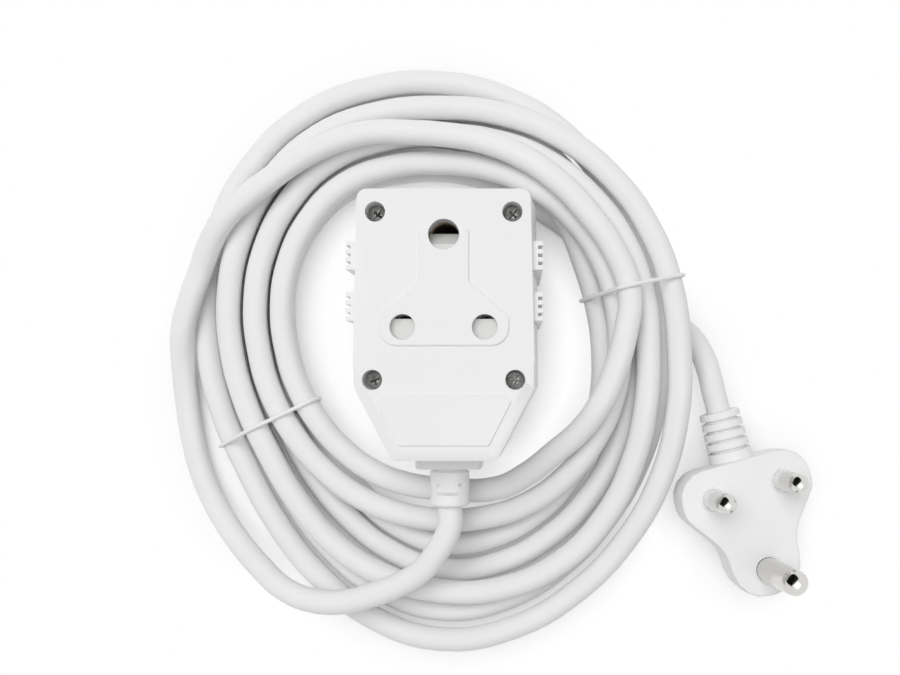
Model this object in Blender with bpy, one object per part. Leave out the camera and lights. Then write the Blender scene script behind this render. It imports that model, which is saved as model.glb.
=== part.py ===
"""Extension lead: a double-sided three-pin socket coupler, a coil of three-core cord in two ties, and a plug.

Metres, +Z up. The origin is under the middle of the coupler, on the surface that everything lies on. The
coupler lies face up with its cord leaving towards -Y, and the coil and the plug lie round it.
"""

import math

import bmesh
import bpy
import numpy as np
from mathutils import Matrix, Vector

MM = 0.001
GAP = 0.3 * MM  # what two touching pieces keep between them

# ---------------------------------------------------------------- pins and sockets (three round pins)
PIN_SPACING = 25.4 * MM  # live pin to neutral pin
EARTH_DISTANCE = 28.6 * MM  # earth pin to the line through live and neutral
PIN_RADIUS = 3.53 * MM
PIN_LENGTH = 18.6 * MM
EARTH_PIN_RADIUS = 4.35 * MM
EARTH_PIN_LENGTH = 28.6 * MM
HOLE_CLEARANCE = 0.47 * MM  # socket hole wall to pin

# ---------------------------------------------------------------- coupler housing
COUPLER_THICKNESS = 60.0 * MM
COUPLER_LENGTH = 85.6 * MM
TOP_HALF_WIDTH = 29.1 * MM  # at the parting plane, as are the next two
SHOULDER_HALF_WIDTH = TOP_HALF_WIDTH + 0.6 * MM  # the sides spread a little towards the cord
END_HALF_WIDTH = 17.0 * MM
SHOULDER_Y = -19.3 * MM
TOP_LEAN = 2.3 * MM  # how far the side walls lean in from the parting plane to the face, at the top
SHOULDER_LEAN = 1.7 * MM  # and at the shoulders
TOP_CORNER_RADIUS = 3.0 * MM
SHOULDER_RADIUS = 2.5 * MM
END_CORNER_RADIUS = 2.0 * MM
WALL = 2.2 * MM
END_LEAN = 0.7 * MM  # the same for the two end walls
RIM_RADIUS = 1.2 * MM
END_CHAMFER_WIDTH = 3.6 * MM  # slope on the face along the tapered sides and the cord end
END_CHAMFER_DROP = 2.0 * MM
PIN_LINE_Y = -0.6 * MM  # live and neutral holes

PLATEAU_RISE = 0.7 * MM  # raised panel round the socket holes
PLATEAU_TOP_Y = 29.9 * MM
PLATEAU_NECK_Y = 13.6 * MM
PLATEAU_FLARE_Y = 2.8 * MM
PLATEAU_BOTTOM_Y = -6.4 * MM
PLATEAU_NECK_HALF_WIDTH = 7.8 * MM
PLATEAU_HALF_WIDTH = 20.2 * MM
PLATEAU_CORNER_RADIUS = 5.5 * MM

BLANK_PAD_RISE = 0.6 * MM  # bare raised panel below the sockets
BLANK_PAD_TOP_Y = -21.4 * MM
BLANK_PAD_SHOULDER_Y = -23.4 * MM
BLANK_PAD_BOTTOM_Y = -37.4 * MM
BLANK_PAD_TOP_HALF_WIDTH = 17.6 * MM
BLANK_PAD_SHOULDER_HALF_WIDTH = 21.1 * MM
BLANK_PAD_BOTTOM_HALF_WIDTH = 14.0 * MM

GRIP_REACH = TOP_HALF_WIDTH + 1.6 * MM  # ribs on the sides, from the middle of the coupler
GRIP_ROOT_REACH = TOP_HALF_WIDTH + 0.1 * MM
GRIP_BOTTOMS_Y = (17.4 * MM, 1.5 * MM)
GRIP_RIBS = 4
GRIP_RIB_PITCH = 2.5 * MM
GRIP_RIB_WIDTH = 1.4 * MM
GRIP_TOP_BELOW_FACE = 2.6 * MM

TOP_SCREW_X = TOP_HALF_WIDTH - 7.9 * MM
LOW_SCREW_X = SHOULDER_HALF_WIDTH - 7.6 * MM
SCREW_CENTRES = (
    (TOP_SCREW_X, 35.0 * MM),
    (LOW_SCREW_X, -16.9 * MM),
    (-LOW_SCREW_X, -16.9 * MM),
    (-TOP_SCREW_X, 35.0 * MM),
)
SCREW_WELL_RADIUS = 3.15 * MM
SCREW_WELL_DEPTH = 7.0 * MM
SCREW_POST_RADIUS = 4.3 * MM
SCREW_HEAD_RADIUS = 2.75 * MM
SCREW_HEAD_HEIGHT = 2.0 * MM
SCREW_SHANK_RADIUS = 1.5 * MM
SCREW_LENGTH = 36.0 * MM
SCREW_RECESS_WIDTH = 0.8 * MM
SCREW_RECESS_DEPTH = 1.1 * MM

# ---------------------------------------------------------------- shutters, carriers and contacts
SHUTTER_THICKNESS = 2.0 * MM
SHUTTER_TRAVEL = 6.5 * MM
SHUTTER_STEM_HALF_WIDTH = 5.0 * MM
SHUTTER_BLADE_HALF_WIDTH = 17.2 * MM
BLADE_ABOVE_PIN_LINE = 2.7 * MM  # a crescent of each hole stays open above the blade
BLADE_BELOW_PIN_LINE = 4.7 * MM
RAMP_ABOVE_EARTH = 1.3 * MM  # lower edge of the ramp at rest
RAMP_LENGTH = 4.0 * MM
RAMP_DEPTH = 5.4 * MM
SPRING_RADIUS = 1.5 * MM
SPRING_WIRE_RADIUS = 0.25 * MM
SPRING_LENGTH = 10.4 * MM
SPRING_CURLS = 7
SPRING_CURL_POINTS = 8

CARRIER_THICKNESS = 2.2 * MM
CARRIER_CLEARANCE = 0.4 * MM
RAIL_WIDTH = 1.5 * MM
TUBE_WALL = 0.85 * MM
CONTACT_GRIP = 0.15 * MM  # contact bore over the pin
TUBE_INNER_END = 1.0 * MM  # live and neutral tubes, from the middle of the coupler
SLIT_WIDTH = 0.8 * MM
SLIT_DEPTH = 10.0 * MM
SOCKET_WALL = 1.3 * MM  # carrier's sleeves round the tubes
STRAP_THICKNESS = 3.0 * MM
STRAP_LEVEL = 1.6 * MM
STRAP_HEIGHT = 2.7 * MM
TERMINAL_WIDTH = 5.6 * MM
TERMINAL_X = 4.9 * MM
TERMINAL_LENGTH = 6.6 * MM
TERMINAL_HEIGHT = 6.4 * MM
TERMINAL_SCREW_RADIUS = 1.25 * MM
TERMINAL_SCREW_HEAD = 1.5 * MM  # above the terminal

# ---------------------------------------------------------------- cord, boot and clamp
CORD_RADIUS = 4.2 * MM
CORE_RADIUS = 1.4 * MM
EARTH_CORE_CLEARANCE = 2.3 * MM  # from the straps to the earth core, which passes behind them
BOOT_FLANGE_LENGTH = 3.4 * MM
BOOT_FLANGE_HALF_WIDTH = 11.1 * MM
BOOT_FLANGE_HALF_HEIGHT = 8.5 * MM
BOOT_SLEEVE_RADIUS = 6.6 * MM
BOOT_LENGTH = 16.15 * MM
BOOT_CHAMFER = 0.7 * MM
BOOT_NECK_RADIUS = 5.8 * MM
BOOT_INNER_FLANGE_RADIUS = 7.6 * MM
BOOT_INNER_FLANGE_LENGTH = 1.6 * MM
BOOT_SLOT_WIDTH = 0.9 * MM
BOOT_SLOT_DEPTH = 1.7 * MM
BOOT_SIDE_SLOT_DEPTH = 2.9 * MM
CLAMP_BAR_WIDTH = 4.0 * MM
CLAMP_BAR_THICKNESS = 3.0 * MM
CLAMP_BAR_HALF_LENGTH = 9.6 * MM
CLAMP_SCREW_X = 7.2 * MM
CLAMP_SCREW_RADIUS = 1.25 * MM
CLAMP_POST_RADIUS = 2.6 * MM
CLAMP_BEHIND_WALL = 4.6 * MM  # middle of the bar, from the inside of the end wall

# ---------------------------------------------------------------- plug
PLUG_PLACE = (100.8 * MM, -55.4 * MM)
PLUG_TURN = math.radians(14.8)
PLUG_LEAN = math.radians(5.0)  # it lies on one edge of its back, so its pins lean a little to +X
PLUG_THICKNESS = 20.0 * MM
PLUG_TOP = 10.6 * MM
PLUG_LOBE_HALF_WIDTH = 23.6 * MM
PLUG_LOBE_RADIUS = 10.0 * MM
PLUG_FOOT_BELOW_EARTH = 9.2 * MM
PLUG_FOOT_HALF_WIDTH = 12.2 * MM
PLUG_FOOT_RADIUS = 11.4 * MM
PLUG_WAIST_HALF_WIDTH = 12.7 * MM
PLUG_WAIST_Y = -19.0 * MM
PLUG_WAIST_RADIUS = 16.0 * MM
PLUG_BACK_INSET = 5.0 * MM
PLUG_RIM_RADIUS = 1.2 * MM
PLUG_PIN_FLANGE = 1.4 * MM
PLUG_PIN_ROOT = 6.0 * MM  # pin inside the moulding
PIN_SLEEVE_LENGTH = 6.0 * MM
PIN_SLEEVE_WALL = 0.45 * MM
BRIDGE_THICKNESS = 2.4 * MM
BRIDGE_DEPTH = 4.4 * MM  # below the face
PLUG_BOOT_LENGTH = 17.4 * MM
PLUG_BOOT_BASE_RADIUS = 7.7 * MM
PLUG_BOOT_TIP_RADIUS = 7.1 * MM
PLUG_BOOT_GROOVES = 4
PLUG_BOOT_GROOVE_WIDTH = 1.2 * MM
PLUG_BOOT_GROOVE_DEPTH = 1.5 * MM

# ---------------------------------------------------------------- coil, free stretches and ties
COIL_CENTRE = (-4.3 * MM, -6.8 * MM)
COIL_START = math.radians(105.0)
LOOP_POINTS = 24
COIL_TURNS = 6.5 - 1 / LOOP_POINTS
LAST_LOOP = 6  # loops are counted at 90 degrees round
CLIMB_START, CLIMB_LENGTH = 3.25, 0.5  # loops over which the cord climbs to the upper layer
CROSS_OVER_START, CROSS_OVER_LENGTH = 3.5, 0.35  # and over which it takes up that layer's places
LAYER_RISE = 2 * CORD_RADIUS + 0.8 * MM
STRAND_PITCH = 2 * CORD_RADIUS + 1.3 * MM  # from a loop to the one outside it
# The bundle's inside: the cord's distance from the coil's centre on the innermost loop of each layer,
# every 30 degrees from 90 degrees round. The ties draw the bundle in at 30 and 210 degrees.
LOWER_INSIDE = [mm * MM for mm in (68.0, 69.6, 62.5, 53.4, 49.4, 55.2, 64.2, 61.9, 54.9, 50.0, 51.0, 60.0)]
UPPER_INSIDE = [mm * MM for mm in (66.3, 69.0, 63.9, 56.8, 52.9, 53.3, 54.6, 58.0, 59.0, 59.9, 62.6, 64.5)]
COIL_ENTRY, ENTRY_LENGTH = 3.2 * MM, 0.2  # the cord comes to the first loop from inside it
COIL_EXIT, EXIT_START, EXIT_LENGTH = 1.4 * MM, 6.3, 0.25  # and leaves the last one towards its inside
# Loops that hang loose at the bottom of the bundle: by how much, where, and how far round to each side.
LOWER_SLACK = (5.0 * MM, math.radians(264.0), math.radians(58.0))
UPPER_SLACK = (16.2 * MM, math.radians(280.0), math.radians(84.0))
LOWER_SLACK_FROM = 1.5  # only loops after this one, and before the other, are slack
UPPER_SLACK_TO = 5
CROSSING_ANGLE = math.radians(22.5)  # here the coil rides over the stretch of cord that leads to the plug
CROSSING_HALF_ANGLE = math.radians(27.5)
CROSSING_RAMP = math.radians(55.0)

TIE_RADIUS = 0.7 * MM
TIE_ROOM = 2 * TIE_RADIUS + GAP + 0.1 * MM  # under the strands that a tie holds
TIE_REACH = 26.0 * MM  # a strand further than this from the tie's place isn't held
TIE_LIFT_HALF_ANGLE = math.radians(35)
TIES = {  # a point that each tie passes over, and the direction that it runs in across the bundle
    "tie_right": ((64.1 * MM, 15.4 * MM), math.radians(13.3)),
    "tie_left": ((-63.5 * MM, -31.0 * MM), math.radians(205.4)),
}
STEP = 16.0 * MM  # between points on the free stretches

# The free stretches' routes between their ends, chosen by hand along the cord.
ROUTE_TO_COUPLER = [
    Vector(point) * MM
    for point in (
        (15.6, -55.0, 15.2),
        (25.5, -50.1, 18.3),
        (35.9, -41.7, 22.3),
        (44.0, -34.4, 26.7),
        (50.4, -25.2, 31.9),
        (54.8, -15.6, 33.2),
        (58.8, -1.9, 33.9),
        (60.4, 12.3, 32.7),
        (55.5, 26.0, 32.5),
        (46.9, 38.4, 33.0),
        (35.8, 50.3, 32.1),
        (25.1, 58.0, 30.9),
        (11.0, 64.1, 28.6),
        (-3.8, 67.2, 25.7),
        (-14.6, 68.3, 23.8),
        (-25.8, 68.8, 22.6),
        (-36.4, 66.9, 22.2),
        (-45.6, 63.4, 22.2),
        (-54.2, 58.6, 22.2),
        (-61.7, 53.1, 22.4),
        (-71.2, 45.8, 22.5),
        (-79.4, 38.1, 21.2),
        (-85.0, 30.1, 17.9),
        (-88.9, 21.9, 14.6),
        (-92.5, 12.6, 13.9),
        (-96.1, 1.2, 12.0),
        (-97.6, -11.5, 6.9),
        (-96.9, -24.8, 4.6),
        (-95.1, -36.9, 4.5),
        (-92.1, -49.0, 4.5),
        (-86.9, -60.3, 6.0),
        (-78.5, -72.0, 10.0),
        (-67.5, -82.8, 15.5),
        (-58.1, -89.7, 19.6),
        (-48.5, -93.0, 22.0),
        (-37.3, -93.4, 23.0),
        (-27.1, -90.8, 24.0),
        (-17.7, -86.9, 25.5),
        (-10.0, -82.0, 27.0),
        (-4.8, -75.6, 28.5),
    )
]
ROUTE_TO_PLUG = [
    Vector(point) * MM
    for point in (
        (9.0, 57.1, 4.5),
        (21.2, 51.0, 4.6),
        (32.5, 44.3, 4.6),
        (42.5, 37.0, 5.2),
        (53.5, 26.7, 6.0),
        (65.8, 14.7, 6.2),
        (77.3, 4.8, 6.4),
        (85.0, -0.9, 6.8),
        (89.2, -7.4, 8.0),
        (91.4, -14.2, 9.6),
    )
]

# ---------------------------------------------------------------- what follows from the sizes
MIDDLE = COUPLER_THICKNESS / 2
FACE = MIDDLE - PLATEAU_RISE  # heights in the coupler are counted from its middle plane
ROOF = FACE - WALL
SHUTTER_TOP = ROOF - GAP
SHUTTER_BOTTOM = SHUTTER_TOP - SHUTTER_THICKNESS
CARRIER_TOP = SHUTTER_BOTTOM - GAP
CARRIER_BOTTOM = CARRIER_TOP - CARRIER_THICKNESS
EARTH_Y = PIN_LINE_Y + EARTH_DISTANCE
PIN_X = PIN_SPACING / 2
HOLE_RADIUS = PIN_RADIUS + HOLE_CLEARANCE
EARTH_HOLE_RADIUS = EARTH_PIN_RADIUS + HOLE_CLEARANCE
COUPLER_TOP = COUPLER_LENGTH / 2
COUPLER_END = -COUPLER_LENGTH / 2
INSIDE_END = COUPLER_END + WALL
BORE = PIN_RADIUS + CONTACT_GRIP
EARTH_BORE = EARTH_PIN_RADIUS + CONTACT_GRIP
TUBE = BORE + TUBE_WALL
EARTH_TUBE = EARTH_BORE + TUBE_WALL
TUBE_END = CARRIER_BOTTOM - GAP
RAMP_BOTTOM = SHUTTER_TOP - RAMP_DEPTH
EARTH_TUBE_END = min(RAMP_BOTTOM - 2 * GAP, TUBE_END)
SOCKETS = ((PIN_X, PIN_LINE_Y), (-PIN_X, PIN_LINE_Y))
PLUG_HEIGHT = (PLUG_LOBE_HALF_WIDTH - PLUG_BACK_INSET) * math.sin(PLUG_LEAN) + 0.05 * MM
BOOT_END = COUPLER_END - GAP - BOOT_LENGTH
CORD_AXIS = MIDDLE  # height of the cord in the coupler
PLUG_AXIS = PLUG_THICKNESS / 2

for old in list(bpy.data.objects):
    bpy.data.objects.remove(old)


# ================================================================ materials


def material(name, colour, roughness, metallic=0.0):
    made = bpy.data.materials.new(name)
    made.use_nodes = True
    shader = made.node_tree.nodes["Principled BSDF"]
    shader.inputs["Base Color"].default_value = (*colour, 1.0)
    shader.inputs["Roughness"].default_value = roughness
    shader.inputs["Metallic"].default_value = metallic
    made.diffuse_color = (*colour, 1.0)
    return made


HOUSING = material("housing_white", (0.87, 0.87, 0.86), 0.38)
INSERT = material("insert_white", (0.82, 0.82, 0.80), 0.45)
PVC = material("pvc_white", (0.85, 0.85, 0.84), 0.42)
SHEATH = material("cord_sheath_white", (0.84, 0.84, 0.83), 0.45)
TIE = material("tie_white", (0.90, 0.90, 0.89), 0.50)
BRASS = material("contact_brass", (0.78, 0.60, 0.30), 0.30, 1.0)
NICKEL = material("pin_nickel", (0.72, 0.71, 0.69), 0.22, 1.0)
STEEL = material("screw_steel", (0.38, 0.38, 0.38), 0.35, 1.0)
SPRING_STEEL = material("spring_steel", (0.60, 0.60, 0.60), 0.30, 1.0)
BROWN = material("core_brown", (0.22, 0.10, 0.05), 0.45)
BLUE = material("core_blue", (0.05, 0.14, 0.45), 0.45)
GREEN = material("core_green_yellow", (0.20, 0.48, 0.12), 0.45)

# ================================================================ collections

PARTS = bpy.data.collections.new("extension_lead")
CUTTERS = bpy.data.collections.new("cutters")
for group in (PARTS, CUTTERS):
    bpy.context.scene.collection.children.link(group)


# ================================================================ shapes


def offset(corners, distance):
    """The corners (x, y, radius) of an outline, anticlockwise, with every side moved out by distance."""
    moved = []
    for index, (x, y, radius) in enumerate(corners):
        here = Vector((x, y))
        before = (here - Vector(corners[index - 1][:2])).normalized()
        after = (Vector(corners[(index + 1) % len(corners)][:2]) - here).normalized()
        normals = Vector((before.y, -before.x)), Vector((after.y, -after.x))
        shift = (normals[0] + normals[1]) / (1 + normals[0].dot(normals[1])) * distance
        convex = before.cross(after) > 0
        moved.append((x + shift.x, y + shift.y, max(radius + (distance if convex else -distance), 0.2 * MM)))
    return moved


def outline(corners, steps=4):
    """Points round an outline whose corners (x, y, radius) are rounded."""
    points = []
    for index, (x, y, radius) in enumerate(corners):
        here = Vector((x, y))
        back = (Vector(corners[index - 1][:2]) - here).normalized()
        ahead = (Vector(corners[(index + 1) % len(corners)][:2]) - here).normalized()
        half = back.angle(ahead) / 2
        centre = here + (back + ahead).normalized() * radius / math.sin(half)
        first = here + back * radius / math.tan(half) - centre
        turn = math.copysign(math.pi - 2 * half, first.cross(here + ahead * radius / math.tan(half) - centre))
        for step in range(steps + 1):
            angle = turn * step / steps
            points.append(
                (
                    centre.x + first.x * math.cos(angle) - first.y * math.sin(angle),
                    centre.y + first.x * math.sin(angle) + first.y * math.cos(angle),
                )
            )
    return points


def mirrored(half):
    """An outline from the corners of its +X half, listed anticlockwise."""
    return list(half) + [(-x, y, radius) for x, y, radius in reversed(half)]


def loft(sections):
    """A closed solid through outlines (points, height) that have the same number of points."""
    shape = bmesh.new()
    rings = [[shape.verts.new((x, y, height)) for x, y in points] for points, height in sections]
    for low, high in zip(rings, rings[1:]):
        for index in range(len(low)):
            shape.faces.new((low[index - 1], low[index], high[index], high[index - 1]))
    shape.faces.new(reversed(rings[0]))
    shape.faces.new(rings[-1])
    bmesh.ops.recalc_face_normals(shape, faces=shape.faces)
    return shape


def prism(corners, low, high, steps=4):
    points = outline(corners, steps)
    return loft([(points, low), (points, high)])


def box(low, high):
    shape = bmesh.new()
    bmesh.ops.create_cube(shape, size=1.0)
    low, high = Vector(low), Vector(high)
    bmesh.ops.scale(shape, vec=high - low, verts=shape.verts)
    bmesh.ops.translate(shape, vec=(low + high) / 2, verts=shape.verts)
    return shape


def rod(start, end, radius, sides=24, end_radius=None):
    """A cylinder or cone from start to end."""
    start, end = Vector(start), Vector(end)
    along = end - start
    shape = bmesh.new()
    bmesh.ops.create_cone(
        shape,
        cap_ends=True,
        segments=sides,
        radius1=radius,
        radius2=radius if end_radius is None else end_radius,
        depth=along.length,
    )
    turn = Vector((0, 0, 1)).rotation_difference(along).to_matrix().to_4x4()
    bmesh.ops.transform(shape, matrix=Matrix.Translation((start + end) / 2) @ turn, verts=shape.verts)
    return shape


def turned(profile, sides=24):
    """A body of revolution round Z, from its outer side (radius, height), top to bottom."""
    shape = bmesh.new()
    verts = [shape.verts.new((radius, 0, height)) for radius, height in profile]
    edges = [shape.edges.new(pair) for pair in zip(verts, verts[1:])]
    bmesh.ops.spin(
        shape,
        geom=verts + edges,
        axis=(0, 0, 1),
        cent=(0, 0, 0),
        angle=2 * math.pi,
        steps=sides,
        use_merge=True,
    )
    bmesh.ops.remove_doubles(shape, verts=shape.verts, dist=0.001 * MM)
    bmesh.ops.recalc_face_normals(shape, faces=shape.faces)
    return shape


def placed(shape, matrix):
    """The shape moved by a matrix, turned the right way out again where the matrix mirrors it."""
    bmesh.ops.transform(shape, matrix=matrix, verts=shape.verts)
    if matrix.determinant() < 0:
        bmesh.ops.reverse_faces(shape, faces=shape.faces)
    return shape


def faced(shape, side):
    """A shape of the coupler's front half, put in place: side is 1 for the front half and -1 for the rear."""
    return placed(shape, Matrix.Translation((0, 0, MIDDLE)) @ Matrix.Diagonal((1, 1, side, 1)))


# ================================================================ objects


def add_object(name, data, collection, parent=None):
    made = bpy.data.objects.new(name, data)
    collection.objects.link(made)
    made.parent = parent
    return made


def mesh_of(name, shape):
    mesh = bpy.data.meshes.new(name)
    shape.to_mesh(mesh)
    shape.free()
    return mesh


def piece(name, finish, base, joined=(), cut=(), origin=(0, 0, 0), parent=None):
    """One sub-part: its base shape, with other shapes joined to it and then cut out of it."""
    origin = Vector(origin)
    bmesh.ops.translate(base, vec=-origin, verts=base.verts)
    made = add_object(name, mesh_of(name, base), PARTS, parent)
    made.location = origin
    made.data.materials.append(finish)
    steps = [("UNION", shape) for shape in joined] + [("DIFFERENCE", shape) for shape in cut]
    for number, (operation, shape) in enumerate(steps):
        tool_name = f"{operation.lower()}_{number:02d}_{name}"
        tool = add_object(tool_name, mesh_of(tool_name, shape), CUTTERS, parent)
        tool.hide_render = True
        tool.display_type = "WIRE"
        boolean = made.modifiers.new(operation.title(), "BOOLEAN")
        boolean.operation = operation
        boolean.object = tool
    made.data.shade_smooth()
    made.data.set_sharp_from_angle(angle=math.radians(30))
    return made


def tube_curve(name, points, radius, resolution, closed=False):
    curve = bpy.data.curves.new(name, "CURVE")
    curve.dimensions = "3D"
    curve.bevel_depth = radius
    curve.bevel_resolution = resolution
    curve.use_fill_caps = not closed
    spline = curve.splines.new("POLY")
    spline.points.add(len(points) - 1)
    for target, point in zip(spline.points, points):
        target.co = (*point, 1.0)
    spline.use_cyclic_u = closed
    return curve


def tube(name, finish, points, radius, resolution=2, closed=False, parent=None):
    """A cord, wire or core: a round tube along points."""
    made = add_object(name, tube_curve(name, points, radius, resolution, closed), PARTS, parent)
    made.data.materials.append(finish)
    return made


def tube_shape(points, radius, resolution=2):
    """The same tube as a shape that can cut."""
    guide = add_object("guide", tube_curve("guide", points, radius, resolution), CUTTERS)
    evaluated = guide.evaluated_get(bpy.context.evaluated_depsgraph_get())
    mesh = bpy.data.meshes.new_from_object(evaluated)
    shape = bmesh.new()
    shape.from_mesh(mesh)
    bmesh.ops.remove_doubles(shape, verts=shape.verts, dist=0.001 * MM)
    bmesh.ops.recalc_face_normals(shape, faces=shape.faces)
    bpy.data.objects.remove(guide)
    bpy.data.meshes.remove(mesh)
    return shape


def smooth(route, step, straight_ends=False):
    """Points about step apart on a smooth curve through a route's points.

    With straight ends, the route's first and last stretches are kept as they are.
    """
    route = [Vector(point) for point in route]
    ends = [2 * route[0] - route[1]] + route + [2 * route[-1] - route[-2]]
    fine = []
    for a, b, c, d in zip(ends, ends[1:], ends[2:], ends[3:]):
        for part in range(24):
            t = part / 24
            fine.append(
                (
                    2 * b
                    + (c - a) * t
                    + (2 * a - 5 * b + 4 * c - d) * t * t
                    + (3 * b - a - 3 * c + d) * t * t * t
                )
                / 2
            )
    fine.append(route[-1])
    if straight_ends:
        fine = fine[24:-24]
    run = [0.0]
    for here, ahead in zip(fine, fine[1:]):
        run.append(run[-1] + (ahead - here).length)
    count = max(2, round(run[-1] / step))
    wanted = [run[-1] * index / count for index in range(count + 1)]
    tracks = [[point[axis] for point in fine] for axis in range(3)]
    points = [Vector([float(np.interp(at, run, track)) for track in tracks]) for at in wanted]
    return [route[0], *points, route[-1]] if straight_ends else points


def length_of(points):
    return sum((ahead - here).length for here, ahead in zip(points, points[1:]))


# ================================================================ coupler housing

BODY_CORNERS = mirrored(
    [
        (END_HALF_WIDTH, COUPLER_END, END_CORNER_RADIUS),
        (SHOULDER_HALF_WIDTH, SHOULDER_Y, SHOULDER_RADIUS),
        (TOP_HALF_WIDTH, COUPLER_TOP, TOP_CORNER_RADIUS),
    ]
)
LEANT_CORNERS = mirrored(  # the same walls where they reach the face
    [
        (END_HALF_WIDTH - END_LEAN, COUPLER_END + END_LEAN, END_CORNER_RADIUS),
        (SHOULDER_HALF_WIDTH - SHOULDER_LEAN, SHOULDER_Y, SHOULDER_RADIUS),
        (TOP_HALF_WIDTH - TOP_LEAN, COUPLER_TOP - END_LEAN, TOP_CORNER_RADIUS),
    ]
)
TAPER = Vector(LEANT_CORNERS[1][:2]) - Vector(LEANT_CORNERS[0][:2])
SLOPE_END_Y = COUPLER_END + END_LEAN + END_CHAMFER_WIDTH
SLOPE_END_X = LEANT_CORNERS[0][0] + (TAPER.x * END_CHAMFER_WIDTH - TAPER.length * END_CHAMFER_WIDTH) / TAPER.y
SLOPE_RISE_Y = END_CHAMFER_WIDTH * TAPER.length / TAPER.x
FACE_CORNERS = mirrored(  # the flat face inside the slope, which dies out above the shoulders
    [
        (SLOPE_END_X, SLOPE_END_Y, END_CORNER_RADIUS / 2),
        (SHOULDER_HALF_WIDTH - SHOULDER_LEAN, SHOULDER_Y + SLOPE_RISE_Y, SHOULDER_RADIUS),
        (TOP_HALF_WIDTH - TOP_LEAN, COUPLER_TOP - END_LEAN, TOP_CORNER_RADIUS),
    ]
)
PLATEAU_CORNERS = mirrored(
    [
        (PLATEAU_HALF_WIDTH, PLATEAU_BOTTOM_Y, PLATEAU_CORNER_RADIUS),
        (PLATEAU_HALF_WIDTH, PLATEAU_FLARE_Y, PLATEAU_CORNER_RADIUS / 2),
        (PLATEAU_NECK_HALF_WIDTH, PLATEAU_NECK_Y, 1.0 * MM),
        (PLATEAU_NECK_HALF_WIDTH, PLATEAU_TOP_Y, 1.0 * MM),
    ]
)
BLANK_PAD_CORNERS = mirrored(
    [
        (BLANK_PAD_BOTTOM_HALF_WIDTH, BLANK_PAD_BOTTOM_Y, 1.2 * MM),
        (BLANK_PAD_SHOULDER_HALF_WIDTH, BLANK_PAD_SHOULDER_Y, 0.8 * MM),
        (BLANK_PAD_TOP_HALF_WIDTH, BLANK_PAD_TOP_Y, 0.8 * MM),
    ]
)


def between(first, second, share):
    """An outline's points part of the way from one outline to another."""
    return [tuple(Vector(a).lerp(Vector(b), share)) for a, b in zip(first, second)]


def housing_blank():
    """The outside of one half: walls that lean in, a rounded rim and the slope at the cord end."""
    sections = [(outline(BODY_CORNERS), GAP / 2), (outline(LEANT_CORNERS), FACE - END_CHAMFER_DROP)]
    for step in range(4):
        angle = math.pi / 2 * step / 3
        inset = RIM_RADIUS * (1 - math.cos(angle))
        height = FACE - RIM_RADIUS + RIM_RADIUS * math.sin(angle)
        share = 1 - (FACE - height) / END_CHAMFER_DROP
        rim = between(outline(LEANT_CORNERS), outline(FACE_CORNERS), share)
        drawn_in = between(outline(offset(LEANT_CORNERS, -inset)), outline(FACE_CORNERS), share)
        sections.append(([b if b[1] > 0 else a for a, b in zip(rim, drawn_in)], height))
    return loft(sections)


def grip(side_x, bottom_y):
    """A pad on a side wall with a comb of ribs along it."""
    height = GRIP_RIB_PITCH * (GRIP_RIBS - 1) + GRIP_RIB_WIDTH
    inside = TOP_HALF_WIDTH - TOP_LEAN - WALL / 2
    points = [(inside, bottom_y)]
    for rib in range(GRIP_RIBS):
        low = bottom_y + rib * GRIP_RIB_PITCH
        points += [(GRIP_REACH, low), (GRIP_REACH, low + GRIP_RIB_WIDTH)]
        if rib < GRIP_RIBS - 1:
            points += [(GRIP_ROOT_REACH, low + GRIP_RIB_WIDTH), (GRIP_ROOT_REACH, low + GRIP_RIB_PITCH)]
    points.append((inside, bottom_y + height))
    shape = loft([(points, GAP / 2 + 0.2 * MM), (points, FACE - GRIP_TOP_BELOW_FACE)])
    return placed(shape, Matrix.Diagonal((side_x, 1, 1, 1)))


def raised(corners, rise):
    """A low raised panel on the face, with a small bevel round its top."""
    bevel = 0.3 * MM
    return loft(
        [
            (outline(corners), FACE - WALL / 2),
            (outline(corners), FACE + rise - bevel),
            (outline(offset(corners, -bevel)), FACE + rise),
        ]
    )


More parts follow.
